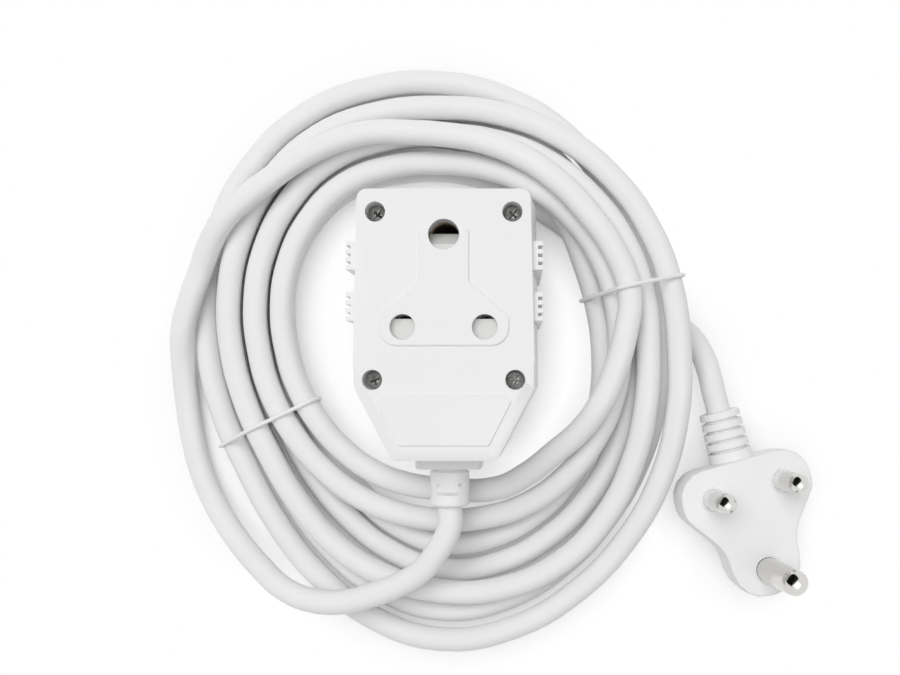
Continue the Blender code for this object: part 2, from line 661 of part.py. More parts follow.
def housing_half(name, side):
    cavity_foot, cavity_top = offset(BODY_CORNERS, -WALL), offset(LEANT_CORNERS, -WALL)
    cavity = loft([(outline(cavity_foot), -1 * MM), (outline(cavity_top), ROOF)])
    joined = [raised(PLATEAU_CORNERS, PLATEAU_RISE), raised(BLANK_PAD_CORNERS, BLANK_PAD_RISE)]
    joined += [grip(side_x, bottom) for side_x in (1, -1) for bottom in GRIP_BOTTOMS_Y]
    posts = [rod((x, y, GAP / 2), (x, y, ROOF + WALL / 2), SCREW_POST_RADIUS, 16) for x, y in SCREW_CENTRES]
    cut = [rod((x, y, ROOF - 1 * MM), (x, y, MIDDLE + 1 * MM), HOLE_RADIUS, 28) for x, y in SOCKETS]
    cut.append(rod((0, EARTH_Y, ROOF - 1 * MM), (0, EARTH_Y, MIDDLE + 1 * MM), EARTH_HOLE_RADIUS, 28))
    neck = BOOT_NECK_RADIUS + GAP
    cut.append(rod((0, COUPLER_END - 1 * MM, 0), (0, INSIDE_END + 1 * MM, 0), neck, 24))
    clearance = SCREW_SHANK_RADIUS + GAP
    if side > 0:
        seat = FACE - SCREW_WELL_DEPTH
        cut += [rod((x, y, seat), (x, y, MIDDLE + 1 * MM), SCREW_WELL_RADIUS, 18) for x, y in SCREW_CENTRES]
        cut += [rod((x, y, -1 * MM), (x, y, seat + 1 * MM), clearance, 16) for x, y in SCREW_CENTRES]
    else:
        depth = SCREW_LENGTH - (FACE - SCREW_WELL_DEPTH) + 2 * GAP
        cut += [rod((x, y, -1 * MM), (x, y, depth), clearance, 16) for x, y in SCREW_CENTRES]
        y = INSIDE_END + CLAMP_BEHIND_WALL
        top = -CORD_RADIUS
        for x in (CLAMP_SCREW_X, -CLAMP_SCREW_X):
            posts.append(rod((x, y, top), (x, y, ROOF + WALL / 2), CLAMP_POST_RADIUS, 16))
            cut.append(rod((x, y, top - 1 * MM), (x, y, top + 10 * MM), CLAMP_SCREW_RADIUS + GAP, 12))
    blank = faced(housing_blank(), side)
    hollow = piece(name, HOUSING, blank, cut=[faced(cavity, side)])
    for operation, tools in (("UNION", joined + posts), ("DIFFERENCE", cut)):
        for number, shape in enumerate(tools):
            tool_name = f"{operation.lower()}_{number + 10:02d}_{name}"
            tool = add_object(tool_name, mesh_of(tool_name, faced(shape, side)), CUTTERS)
            tool.hide_render = True
            tool.display_type = "WIRE"
            boolean = hollow.modifiers.new(operation.title(), "BOOLEAN")
            boolean.operation = operation
            boolean.object = tool
    return hollow


housing_half("front_shell", 1)
housing_half("rear_shell", -1)

for number, (x, y) in enumerate(SCREW_CENTRES, 1):
    seat = FACE - SCREW_WELL_DEPTH + GAP
    head = SCREW_HEAD_HEIGHT
    profile = [
        (0, seat + head),
        (SCREW_HEAD_RADIUS * 0.55, seat + head * 0.94),
        (SCREW_HEAD_RADIUS * 0.9, seat + head * 0.66),
        (SCREW_HEAD_RADIUS, seat + head * 0.35),
        (SCREW_HEAD_RADIUS, seat),
        (SCREW_SHANK_RADIUS, seat),
        (SCREW_SHANK_RADIUS, seat - SCREW_LENGTH + SCREW_SHANK_RADIUS),
        (0, seat - SCREW_LENGTH),
    ]
    half = SCREW_RECESS_WIDTH / 2
    reach = SCREW_HEAD_RADIUS * 0.62
    floor = seat + head - SCREW_RECESS_DEPTH
    cross = [
        box((-reach, -half, floor), (reach, half, seat + head + 1 * MM)),
        box((-half, -reach, floor), (half, reach, seat + head + 1 * MM)),
    ]
    place = Matrix.Translation((x, y, MIDDLE)) @ Matrix.Rotation(math.radians(17 + 31 * number), 4, "Z")
    piece(
        f"housing_screw_{number}",
        STEEL,
        placed(turned(profile, 14), place),
        cut=[placed(shape, place) for shape in cross],
    )


# ================================================================ shutters and their springs

BLADE_TOP_Y = PIN_LINE_Y + BLADE_ABOVE_PIN_LINE
BLADE_BOTTOM_Y = PIN_LINE_Y - BLADE_BELOW_PIN_LINE
RAMP_TIP_Y = EARTH_Y + RAMP_ABOVE_EARTH
SPRING_STOP_Y = BLADE_BOTTOM_Y - SPRING_LENGTH - 2 * GAP
MID_BLADE_Y = (BLADE_TOP_Y + BLADE_BOTTOM_Y) / 2


def shutter(name, side):
    """A slider: a blade over the two lower holes, and a stem whose ramp the earth pin pushes down."""
    blade = box(
        (-SHUTTER_BLADE_HALF_WIDTH, BLADE_BOTTOM_Y, SHUTTER_BOTTOM),
        (SHUTTER_BLADE_HALF_WIDTH, BLADE_TOP_Y, SHUTTER_TOP),
    )
    side_view = [  # (y, height) round the stem, anticlockwise as seen from +X
        (BLADE_TOP_Y - 1 * MM, SHUTTER_BOTTOM),
        (RAMP_TIP_Y - RAMP_LENGTH - 1.5 * MM, SHUTTER_BOTTOM),
        (RAMP_TIP_Y - 1.4 * MM, RAMP_BOTTOM),
        (RAMP_TIP_Y, RAMP_BOTTOM),
        (RAMP_TIP_Y - RAMP_LENGTH, SHUTTER_TOP),
        (BLADE_TOP_Y - 1 * MM, SHUTTER_TOP),
    ]
    stem = loft([(side_view, -SHUTTER_STEM_HALF_WIDTH), (side_view, SHUTTER_STEM_HALF_WIDTH)])
    upright = Matrix(((0, 0, 1, 0), (1, 0, 0, 0), (0, 1, 0, 0), (0, 0, 0, 1)))
    middle = (0, MID_BLADE_Y, MIDDLE + side * (SHUTTER_TOP + SHUTTER_BOTTOM) / 2)
    piece(name, INSERT, faced(blade, side), [faced(placed(stem, upright), side)], origin=middle)


def spring(name, side):
    """The compression spring that pushes the slider back up."""
    points = []
    steps = SPRING_CURL_POINTS * SPRING_CURLS
    height = SHUTTER_TOP - SPRING_RADIUS - SPRING_WIRE_RADIUS
    for step in range(steps + 1):
        angle = 2 * math.pi * step / SPRING_CURL_POINTS
        run = SPRING_WIRE_RADIUS + (SPRING_LENGTH - 2 * SPRING_WIRE_RADIUS) * step / steps
        points.append(
            Vector(
                (
                    SPRING_RADIUS * math.cos(angle),
                    BLADE_BOTTOM_Y - GAP - run,
                    MIDDLE + side * (height + SPRING_RADIUS * math.sin(angle)),
                )
            )
        )
    tube(name, SPRING_STEEL, points, SPRING_WIRE_RADIUS, 1)


# ================================================================ contact carriers


def carrier(name, side):
    """The deck under a shutter: rails for the slider, a stop for its spring, a sleeve round each contact."""
    deck = prism(offset(LEANT_CORNERS, -WALL - CARRIER_CLEARANCE), CARRIER_BOTTOM, CARRIER_TOP, 3)
    sleeve_end = max(STRAP_LEVEL + STRAP_HEIGHT, TERMINAL_HEIGHT / 2 + TERMINAL_SCREW_HEAD) + 2 * GAP
    joined = []
    cut = []
    wells = [(x, y, TUBE, HOLE_RADIUS) for x, y in SOCKETS] + [(0, EARTH_Y, EARTH_TUBE, EARTH_HOLE_RADIUS)]
    for x, y, contact, hole in wells:
        inner = contact + GAP
        joined.append(rod((x, y, sleeve_end), (x, y, CARRIER_BOTTOM + 1 * MM), inner + SOCKET_WALL, 16))
        cut.append(rod((x, y, 0), (x, y, CARRIER_BOTTOM), inner, 16))
        cut.append(rod((x, y, CARRIER_BOTTOM - 1 * MM), (x, y, MIDDLE), hole, 16))
    stem = SHUTTER_STEM_HALF_WIDTH + GAP
    blade = SHUTTER_BLADE_HALF_WIDTH + GAP
    for x in (stem, -stem - RAIL_WIDTH):
        low = (x, BLADE_TOP_Y + 2 * MM, CARRIER_TOP - 1 * MM)
        joined.append(box(low, (x + RAIL_WIDTH, RAMP_TIP_Y - RAMP_LENGTH - SHUTTER_TRAVEL, ROOF - GAP)))
    for x in (blade, -blade - RAIL_WIDTH):
        low = (x, BLADE_BOTTOM_Y - SHUTTER_TRAVEL, CARRIER_TOP - 1 * MM)
        joined.append(box(low, (x + RAIL_WIDTH, BLADE_TOP_Y, ROOF - GAP)))
    well = SPRING_RADIUS + SPRING_WIRE_RADIUS + GAP
    stop = well + 1.2 * MM
    joined.append(box((-stop, SPRING_STOP_Y - 2 * MM, CARRIER_BOTTOM), (stop, SPRING_STOP_Y, ROOF - GAP)))
    cut.append(box((-well, SPRING_STOP_Y, CARRIER_BOTTOM - 1 * MM), (well, BLADE_BOTTOM_Y, MIDDLE)))
    cut.append(
        box(
            (-stem - 0.2 * MM, RAMP_TIP_Y - RAMP_LENGTH - 2.2 * MM - SHUTTER_TRAVEL, RAMP_BOTTOM - GAP),
            (stem + 0.2 * MM, RAMP_TIP_Y + 0.5 * MM, CARRIER_TOP + 0.1 * MM),
        )
    )
    clearance = SCREW_POST_RADIUS + CARRIER_CLEARANCE
    cut += [rod((x, y, 0), (x, y, MIDDLE), clearance, 16) for x, y in SCREW_CENTRES]
    for x, y in SCREW_CENTRES:
        if y > 0:  # the deck's top corners stop at the posts
            low_x, high_x = sorted((x, math.copysign(TOP_HALF_WIDTH, x)))
            cut.append(box((low_x, y, 0), (high_x, COUPLER_TOP, MIDDLE)))
    if side < 0:
        y = INSIDE_END + CLAMP_BEHIND_WALL
        notch = CLAMP_SCREW_X + CLAMP_POST_RADIUS + CARRIER_CLEARANCE
        notch_end = y + CLAMP_POST_RADIUS + CARRIER_CLEARANCE
        cut.append(box((-notch, INSIDE_END - 1 * MM, 0), (notch, notch_end, MIDDLE)))
    shapes = [[faced(shape, side) for shape in group] for group in (joined, cut)]
    piece(name, INSERT, faced(deck, side), *shapes)


for word, side in (("front", 1), ("rear", -1)):
    shutter(f"{word}_shutter", side)
    spring(f"{word}_shutter_spring", side)
    carrier(f"{word}_contact_carrier", side)


# ================================================================ brass contacts and their terminals


def slit(x, y, end, radius, toward):
    """A cross slot that lets the end of a contact tube spring."""
    start = end - toward * SLIT_DEPTH
    stop = end + toward * 1 * MM
    low, high = min(start, stop), max(start, stop)
    half = SLIT_WIDTH / 2
    return box((x - radius - 1 * MM, y - half, low), (x + radius + 1 * MM, y + half, high))


def terminal(x, y_end, name, finish_route):
    """A clamp block whose open end faces -Y, with its hole for the core and its hole for the screw."""
    half = TERMINAL_WIDTH / 2
    top = TERMINAL_HEIGHT / 2
    block = box((x - half, y_end, -top), (x + half, y_end + TERMINAL_LENGTH, top))
    core = CORE_RADIUS + GAP
    core_hole = rod((x, y_end - 1 * MM, 0), (x, y_end + TERMINAL_LENGTH * 0.62, 0), core, 12)
    screw_y = y_end + TERMINAL_LENGTH * 0.36
    screw_hole = rod((x, screw_y, 0), (x, screw_y, top + 1 * MM), TERMINAL_SCREW_RADIUS + GAP, 12)
    screw = rod((x, screw_y, core), (x, screw_y, top + 0.8 * MM), TERMINAL_SCREW_RADIUS, 12)
    head_radius = TERMINAL_SCREW_RADIUS * 1.6
    head = rod((x, screw_y, top + GAP), (x, screw_y, top + TERMINAL_SCREW_HEAD), head_radius, 12)
    slot = box(
        (x - 3 * MM, screw_y - 0.25 * MM, top + 0.9 * MM),
        (x + 3 * MM, screw_y + 0.25 * MM, top + 3 * MM),
    )
    piece(name, STEEL, faced(screw, 1), [faced(head, 1)], [faced(slot, 1)])
    finish_route.append(Vector((x, y_end + TERMINAL_LENGTH * 0.62 - GAP, MIDDLE)))
    return block, core_hole, screw_hole


def line_contact(name, front_x, strap_side, terminal_x, terminal_y, route):
    """Front and rear tubes joined by a strap, so that both faces of the coupler have the same pole layout."""
    rear_x = -front_x
    toward = math.copysign(1, front_x)
    inner_y = PIN_LINE_Y + strap_side * (TUBE - 0.5 * MM)
    outer_y = inner_y + strap_side * STRAP_THICKNESS
    low_y, high_y = min(inner_y, outer_y), max(inner_y, outer_y)
    middle = TERMINAL_X - CORE_RADIUS - 2 * GAP

    def span(x0, x1, low, high):
        return box((min(x0, x1), low_y, low), (max(x0, x1), high_y, high))

    joined = [
        span(front_x + toward * 2 * MM, -toward * middle, STRAP_LEVEL, STRAP_LEVEL + STRAP_HEIGHT),
        span(rear_x - toward * 2 * MM, toward * middle, -STRAP_LEVEL - STRAP_HEIGHT, -STRAP_LEVEL),
        span(-middle, middle, -STRAP_LEVEL - STRAP_HEIGHT + 0.2 * MM, STRAP_LEVEL + STRAP_HEIGHT - 0.2 * MM),
        rod((rear_x, PIN_LINE_Y, -TUBE_INNER_END), (rear_x, PIN_LINE_Y, -TUBE_END), TUBE, 20),
    ]
    block, core_hole, screw_hole = terminal(terminal_x, terminal_y, f"{name}_terminal_screw", route)
    joined.append(block)
    cut = [
        rod((front_x, PIN_LINE_Y, TUBE_INNER_END + 0.8 * MM), (front_x, PIN_LINE_Y, MIDDLE), BORE, 20),
        rod((rear_x, PIN_LINE_Y, -TUBE_INNER_END - 0.8 * MM), (rear_x, PIN_LINE_Y, -MIDDLE), BORE, 20),
        slit(front_x, PIN_LINE_Y, TUBE_END, TUBE, 1),
        slit(rear_x, PIN_LINE_Y, -TUBE_END, TUBE, -1),
        core_hole,
        screw_hole,
    ]
    base = rod((front_x, PIN_LINE_Y, TUBE_INNER_END), (front_x, PIN_LINE_Y, TUBE_END), TUBE, 20)
    piece(f"{name}_contact", BRASS, faced(base, 1), [faced(s, 1) for s in joined], [faced(s, 1) for s in cut])


LIVE_STRAP_OUTER = PIN_LINE_Y - (TUBE - 0.5 * MM) - STRAP_THICKNESS
NEUTRAL_STRAP_INNER = PIN_LINE_Y + TUBE - 0.5 * MM
SHEATH_END_Y = INSIDE_END + CLAMP_BEHIND_WALL + CLAMP_BAR_WIDTH / 2 + 2.2 * MM

live_route = []
neutral_route = []
earth_route = []
terminal_overlap = 0.6 * MM
overlap_y = TERMINAL_LENGTH - terminal_overlap
line_contact("live", PIN_X, -1, TERMINAL_X, LIVE_STRAP_OUTER - overlap_y, live_route)
line_contact("neutral", -PIN_X, 1, -TERMINAL_X, NEUTRAL_STRAP_INNER - overlap_y, neutral_route)

earth_block, earth_core_hole, earth_screw_hole = terminal(
    0, EARTH_Y - EARTH_TUBE - TERMINAL_LENGTH + terminal_overlap, "earth_terminal_screw", earth_route
)
piece(
    "earth_contact",
    BRASS,
    faced(rod((0, EARTH_Y, -EARTH_TUBE_END), (0, EARTH_Y, EARTH_TUBE_END), EARTH_TUBE, 20), 1),
    [faced(earth_block, 1)],
    [
        faced(shape, 1)
        for shape in (
            rod((0, EARTH_Y, -MIDDLE), (0, EARTH_Y, MIDDLE), EARTH_BORE, 20),
            slit(0, EARTH_Y, EARTH_TUBE_END, EARTH_TUBE, 1),
            slit(0, EARTH_Y, -EARTH_TUBE_END, EARTH_TUBE, -1),
            earth_core_hole,
            earth_screw_hole,
        )
    ],
)

# ================================================================ cord entry: boot, clamp, sheath and cores

CLAMP_Y = INSIDE_END + CLAMP_BEHIND_WALL
FORWARD = Matrix.Rotation(math.pi / 2, 4, "X")  # a profile's +Z becomes -Y, away from the coupler


def boot():
    """The moulded sleeve that keeps the cord from kinking where it leaves the housing."""
    flange_corners = [
        (x * BOOT_FLANGE_HALF_WIDTH, y * BOOT_FLANGE_HALF_HEIGHT, 3.0 * MM)
        for x, y in ((1, -1), (1, 1), (-1, 1), (-1, -1))
    ]
    near = -COUPLER_END + GAP
    far = near + BOOT_FLANGE_LENGTH
    end = near + BOOT_LENGTH
    flange = loft(
        [
            (outline(flange_corners), near),
            (outline(flange_corners), far - 0.6 * MM),
            (outline(offset(flange_corners, -0.6 * MM)), far),
        ]
    )
    sleeve = turned(
        [
            (0, end),
            (BOOT_SLEEVE_RADIUS - BOOT_CHAMFER, end),
            (BOOT_SLEEVE_RADIUS, end - BOOT_CHAMFER),
            (BOOT_SLEEVE_RADIUS, far + 1.3 * MM),
            (BOOT_SLEEVE_RADIUS - 1.2 * MM, far + 0.5 * MM),
            (BOOT_NECK_RADIUS - 0.3 * MM, far - 1 * MM),
            (0, far - 1 * MM),
        ],
        24,
    )
    inside = -INSIDE_END - GAP
    neck = turned(
        [
            (0, near + 1 * MM),
            (BOOT_NECK_RADIUS, near + 1 * MM),
            (BOOT_NECK_RADIUS, inside),
            (BOOT_INNER_FLANGE_RADIUS, inside),
            (BOOT_INNER_FLANGE_RADIUS, inside - BOOT_INNER_FLANGE_LENGTH),
            (0, inside - BOOT_INNER_FLANGE_LENGTH),
        ],
        24,
    )
    bore = rod((0, 0, inside - 5 * MM), (0, 0, end + 1 * MM), CORD_RADIUS + GAP, 20)
    half = BOOT_SLOT_WIDTH / 2
    middle_floor = BOOT_SLEEVE_RADIUS - BOOT_SLOT_DEPTH
    side_floor = BOOT_SLEEVE_RADIUS - BOOT_SIDE_SLOT_DEPTH
    slots = []
    for toward in (1, -1):
        for low_x, high_x, before_end, floor in (
            (-6.9, -3.2, 7.4, side_floor),
            (-3.6, 3.4, 4.4, middle_floor),
            (3.2, 6.9, 7.4, side_floor),
        ):
            y0, y1 = sorted((toward * floor, toward * (BOOT_SLEEVE_RADIUS + 1 * MM)))
            centre = end - before_end * MM
            slots.append(box((low_x * MM, y0, centre - half), (high_x * MM, y1, centre + half)))
    axis = Matrix.Translation((0, 0, CORD_AXIS)) @ FORWARD
    shapes = [placed(shape, axis) for shape in (flange, sleeve, neck, bore, *slots)]
    piece("cord_boot", PVC, shapes[0], shapes[1:3], shapes[3:])


boot()

bar_bottom = CORD_AXIS + CORD_RADIUS + GAP
piece(
    "cord_clamp_bar",
    INSERT,
    box(
        (-CLAMP_BAR_HALF_LENGTH, CLAMP_Y - CLAMP_BAR_WIDTH / 2, bar_bottom),
        (CLAMP_BAR_HALF_LENGTH, CLAMP_Y + CLAMP_BAR_WIDTH / 2, bar_bottom + CLAMP_BAR_THICKNESS),
    ),
    cut=[
        rod(
            (x, CLAMP_Y, bar_bottom - 1 * MM),
            (x, CLAMP_Y, bar_bottom + 9 * MM),
            CLAMP_SCREW_RADIUS + GAP,
            12,
        )
        for x in (CLAMP_SCREW_X, -CLAMP_SCREW_X)
    ],
)
for number, x in enumerate((CLAMP_SCREW_X, -CLAMP_SCREW_X), 1):
    seat = bar_bottom + CLAMP_BAR_THICKNESS + GAP
    profile = [
        (0, seat + 1.4 * MM),
        (CLAMP_SCREW_RADIUS * 1.2, seat + 1.3 * MM),
        (CLAMP_SCREW_RADIUS * 1.8, seat + 0.7 * MM),
        (CLAMP_SCREW_RADIUS * 1.8, seat),
        (CLAMP_SCREW_RADIUS, seat),
        (CLAMP_SCREW_RADIUS, seat - 11 * MM),
        (0, seat - 11.8 * MM),
    ]
    slot = box(
        (x - 0.3 * MM, CLAMP_Y - 3 * MM, seat + 0.8 * MM),
        (x + 0.3 * MM, CLAMP_Y + 3 * MM, seat + 3 * MM),
    )
    screw = placed(turned(profile, 14), Matrix.Translation((x, CLAMP_Y, 0)))
    piece(f"cord_clamp_screw_{number}", STEEL, screw, cut=[slot])

sheath_start = Vector((0, BOOT_END, CORD_AXIS))
sheath_stop = Vector((0, SHEATH_END_Y, CORD_AXIS))
sheath_middle = sheath_start.lerp(sheath_stop, 0.5)
tube("cord_end_in_coupler", SHEATH, [sheath_start, sheath_middle, sheath_stop], CORD_RADIUS)

CORE_SPREAD = CORD_RADIUS * 0.52
UNDER_STRAPS = STRAP_LEVEL + STRAP_HEIGHT + CORE_RADIUS + EARTH_CORE_CLEARANCE
core_start = SHEATH_END_Y + GAP
live_route[:0] = [
    Vector((CORE_SPREAD, core_start, CORD_AXIS + CORE_SPREAD * 0.6)),
    Vector((CORE_SPREAD + 0.5 * MM, core_start + 3 * MM, CORD_AXIS + CORE_SPREAD * 0.6)),
    Vector((live_route[-1].x, live_route[-1].y - TERMINAL_LENGTH * 0.62 - 2.4 * MM, MIDDLE)),
]
neutral_route[:0] = [
    Vector((-CORE_SPREAD, core_start, CORD_AXIS + CORE_SPREAD * 0.6)),
    Vector((-CORE_SPREAD - 1.2 * MM, core_start + 5 * MM, CORD_AXIS + CORE_SPREAD * 0.6)),
    Vector((neutral_route[-1].x, core_start + 12.5 * MM, MIDDLE + 0.9 * MM)),
    Vector((neutral_route[-1].x, neutral_route[-1].y - TERMINAL_LENGTH * 0.62 - 3.0 * MM, MIDDLE + 0.2 * MM)),
]
earth_route[:0] = [
    Vector((0, core_start, CORD_AXIS - CORE_SPREAD)),
    Vector((0, core_start + 4 * MM, CORD_AXIS - CORE_SPREAD - 0.3 * MM)),
    Vector((0, LIVE_STRAP_OUTER - TERMINAL_LENGTH - 0.8 * MM, MIDDLE - UNDER_STRAPS)),
    Vector((0, LIVE_STRAP_OUTER + STRAP_THICKNESS + 0.6 * MM, MIDDLE - UNDER_STRAPS - 0.6 * MM)),
    Vector((0, NEUTRAL_STRAP_INNER + STRAP_THICKNESS - 0.4 * MM, MIDDLE - UNDER_STRAPS + 1.4 * MM)),
    Vector((0, earth_route[-1].y - TERMINAL_LENGTH * 0.62 - 2.6 * MM, MIDDLE - 0.4 * MM)),
]
for name, finish, route in (
    ("coupler_live_core", BROWN, live_route),
    ("coupler_neutral_core", BLUE, neutral_route),
    ("coupler_earth_core", GREEN, earth_route),
):
    tube(name, finish, smooth(route, 3.2 * CORE_RADIUS), CORE_RADIUS)

# ================================================================ plug

plug_frame = bpy.data.objects.new("plug_frame", None)
PARTS.objects.link(plug_frame)
plug_matrix = (
    Matrix.Translation((*PLUG_PLACE, PLUG_HEIGHT))
    @ Matrix.Rotation(PLUG_TURN, 4, "Z")
    @ Matrix.Rotation(PLUG_LEAN, 4, "Y")
)
plug_frame.matrix_world = plug_matrix
bpy.context.view_layer.update()

PLUG_FOOT_Y = -EARTH_DISTANCE - PLUG_FOOT_BELOW_EARTH
PLUG_CORNERS = mirrored(
    [
        (PLUG_FOOT_HALF_WIDTH, PLUG_FOOT_Y, PLUG_FOOT_RADIUS),
        (PLUG_WAIST_HALF_WIDTH, PLUG_WAIST_Y, PLUG_WAIST_RADIUS),
        (PLUG_LOBE_HALF_WIDTH, -4.6 * MM, 7.0 * MM),
        (PLUG_LOBE_HALF_WIDTH, PLUG_TOP, PLUG_LOBE_RADIUS),
    ]
)
PLUG_PINS = {
    "live": (PIN_X, 0.0, PIN_RADIUS, PIN_LENGTH),
    "neutral": (-PIN_X, 0.0, PIN_RADIUS, PIN_LENGTH),
    "earth": (0.0, -EARTH_DISTANCE, EARTH_PIN_RADIUS, EARTH_PIN_LENGTH),
}
BRIDGE_TOP = PLUG_THICKNESS - BRIDGE_DEPTH
BRIDGE_BOTTOM = BRIDGE_TOP - BRIDGE_THICKNESS
PIN_FOOT = BRIDGE_BOTTOM - PLUG_PIN_ROOT
BRIDGE_CORNERS = mirrored(
    [
        (5.8 * MM, -EARTH_DISTANCE - 6.4 * MM, 4.5 * MM),
        (5.8 * MM, -9.0 * MM, 3.0 * MM),
        (PIN_X + 5.6 * MM, -5.6 * MM, 4.5 * MM),
        (PIN_X + 5.6 * MM, 5.6 * MM, 4.5 * MM),
    ]
)


def plug_blank():
    """The moulded body: a flat face with a rounded rim, and a back drawn in all round."""
    sections = [
        (outline(offset(PLUG_CORNERS, -PLUG_BACK_INSET)), 0),
        (outline(offset(PLUG_CORNERS, -PLUG_BACK_INSET * 0.42)), PLUG_THICKNESS * 0.1),
        (outline(offset(PLUG_CORNERS, -PLUG_BACK_INSET * 0.12)), PLUG_THICKNESS * 0.28),
        (outline(PLUG_CORNERS), PLUG_THICKNESS * 0.5),
    ]
    for step in range(3):
        angle = math.pi / 2 * step / 2
        inset = PLUG_RIM_RADIUS * (1 - math.cos(angle))
        height = PLUG_THICKNESS - PLUG_RIM_RADIUS * (1 - math.sin(angle))
        sections.append((outline(offset(PLUG_CORNERS, -inset)), height))
    return loft(sections)


def plug_boot():
    """The ribbed sleeve moulded with the body, along +Z from inside the body to its tip."""
    groove = PLUG_BOOT_GROOVE_WIDTH
    free = PLUG_BOOT_LENGTH - 2 * MM
    pitch = (free - groove) / PLUG_BOOT_GROOVES
    profile = [(0, PLUG_BOOT_LENGTH), (PLUG_BOOT_TIP_RADIUS - 0.5 * MM, PLUG_BOOT_LENGTH)]
    slope = (PLUG_BOOT_BASE_RADIUS - PLUG_BOOT_TIP_RADIUS) / PLUG_BOOT_LENGTH
    for index in range(PLUG_BOOT_GROOVES):
        top = PLUG_BOOT_LENGTH - 0.5 * MM if index == 0 else PLUG_BOOT_LENGTH - index * pitch
        groove_top = PLUG_BOOT_LENGTH - (index + 1) * pitch + groove
        groove_low = groove_top - groove
        outer_top = PLUG_BOOT_BASE_RADIUS - slope * top
        outer_low = PLUG_BOOT_BASE_RADIUS - slope * groove_low
        profile += [
            (outer_top, top),
            (outer_low, groove_top),
            (outer_low - PLUG_BOOT_GROOVE_DEPTH, groove_top),
            (outer_low - PLUG_BOOT_GROOVE_DEPTH, groove_low),
        ]
    profile += [(PLUG_BOOT_BASE_RADIUS, groove_low), (PLUG_BOOT_BASE_RADIUS, -6 * MM), (0, -6 * MM)]
    along = Matrix.Translation((0, PLUG_TOP, PLUG_AXIS)) @ Matrix.Rotation(-math.pi / 2, 4, "X")
    return placed(turned(profile, 16), along)


SHEATH_IN_PLUG_Y = PLUG_TOP + 1.5 * MM
PLUG_BOOT_END = PLUG_TOP + PLUG_BOOT_LENGTH
CORE_LEVEL = PIN_FOOT + 2.4 * MM


def plug_core_route(pin_x, pin_y, pin_radius):
    """From the end of the sheath to the side of the pin's root."""
    start = Vector((math.copysign(CORE_SPREAD, pin_x) if pin_x else 0.0, SHEATH_IN_PLUG_Y - GAP, PLUG_AXIS))
    if pin_x:
        stop = Vector((pin_x - math.copysign(pin_radius + GAP, pin_x), pin_y, CORE_LEVEL))
        bend = Vector((start.x * 1.2, start.y - 5.5 * MM, PLUG_AXIS - 0.8 * MM))
        near = stop - Vector((math.copysign(3.5 * MM, pin_x), -0.4 * MM, 0))
        return smooth([start, bend, near, stop], 3.2 * CORE_RADIUS)
    start.z -= CORE_SPREAD
    stop = Vector((0, pin_y + pin_radius + GAP, CORE_LEVEL))
    bend = start - Vector((0, 7 * MM, 0.6 * MM))
    return smooth([start, bend, stop + Vector((0, 8 * MM, 0)), stop], 4.5 * CORE_RADIUS)


core_routes = {name: plug_core_route(x, y, radius) for name, (x, y, radius, _) in PLUG_PINS.items()}
plug_cuts = [
    placed(
        rod((0, 0, SHEATH_IN_PLUG_Y), (0, 0, PLUG_BOOT_END + 1 * MM), CORD_RADIUS + GAP, 16),
        Matrix.Translation((0, 0, PLUG_AXIS)) @ Matrix.Rotation(-math.pi / 2, 4, "X"),
    ),
    prism(offset(BRIDGE_CORNERS, GAP), BRIDGE_BOTTOM - GAP, BRIDGE_TOP + GAP, 3),
]
for name, (x, y, radius, length) in PLUG_PINS.items():
    flange = radius + PLUG_PIN_FLANGE
    plug_cuts.append(rod((x, y, PIN_FOOT - GAP), (x, y, BRIDGE_BOTTOM), flange + GAP, 16))
    plug_cuts.append(rod((x, y, BRIDGE_TOP), (x, y, PLUG_THICKNESS + 1 * MM), radius + GAP, 16))
    plug_cuts.append(tube_shape(core_routes[name], CORE_RADIUS + GAP))
piece("plug_body", PVC, plug_blank(), [plug_boot()], plug_cuts, parent=plug_frame)

piece(
    "plug_pin_bridge",
    INSERT,
    prism(BRIDGE_CORNERS, BRIDGE_BOTTOM, BRIDGE_TOP, 3),
    cut=[
        rod((x, y, BRIDGE_BOTTOM - 1 * MM), (x, y, BRIDGE_TOP + 1 * MM), radius + GAP, 16)
        for x, y, radius, _ in PLUG_PINS.values()
    ],
    parent=plug_frame,
)

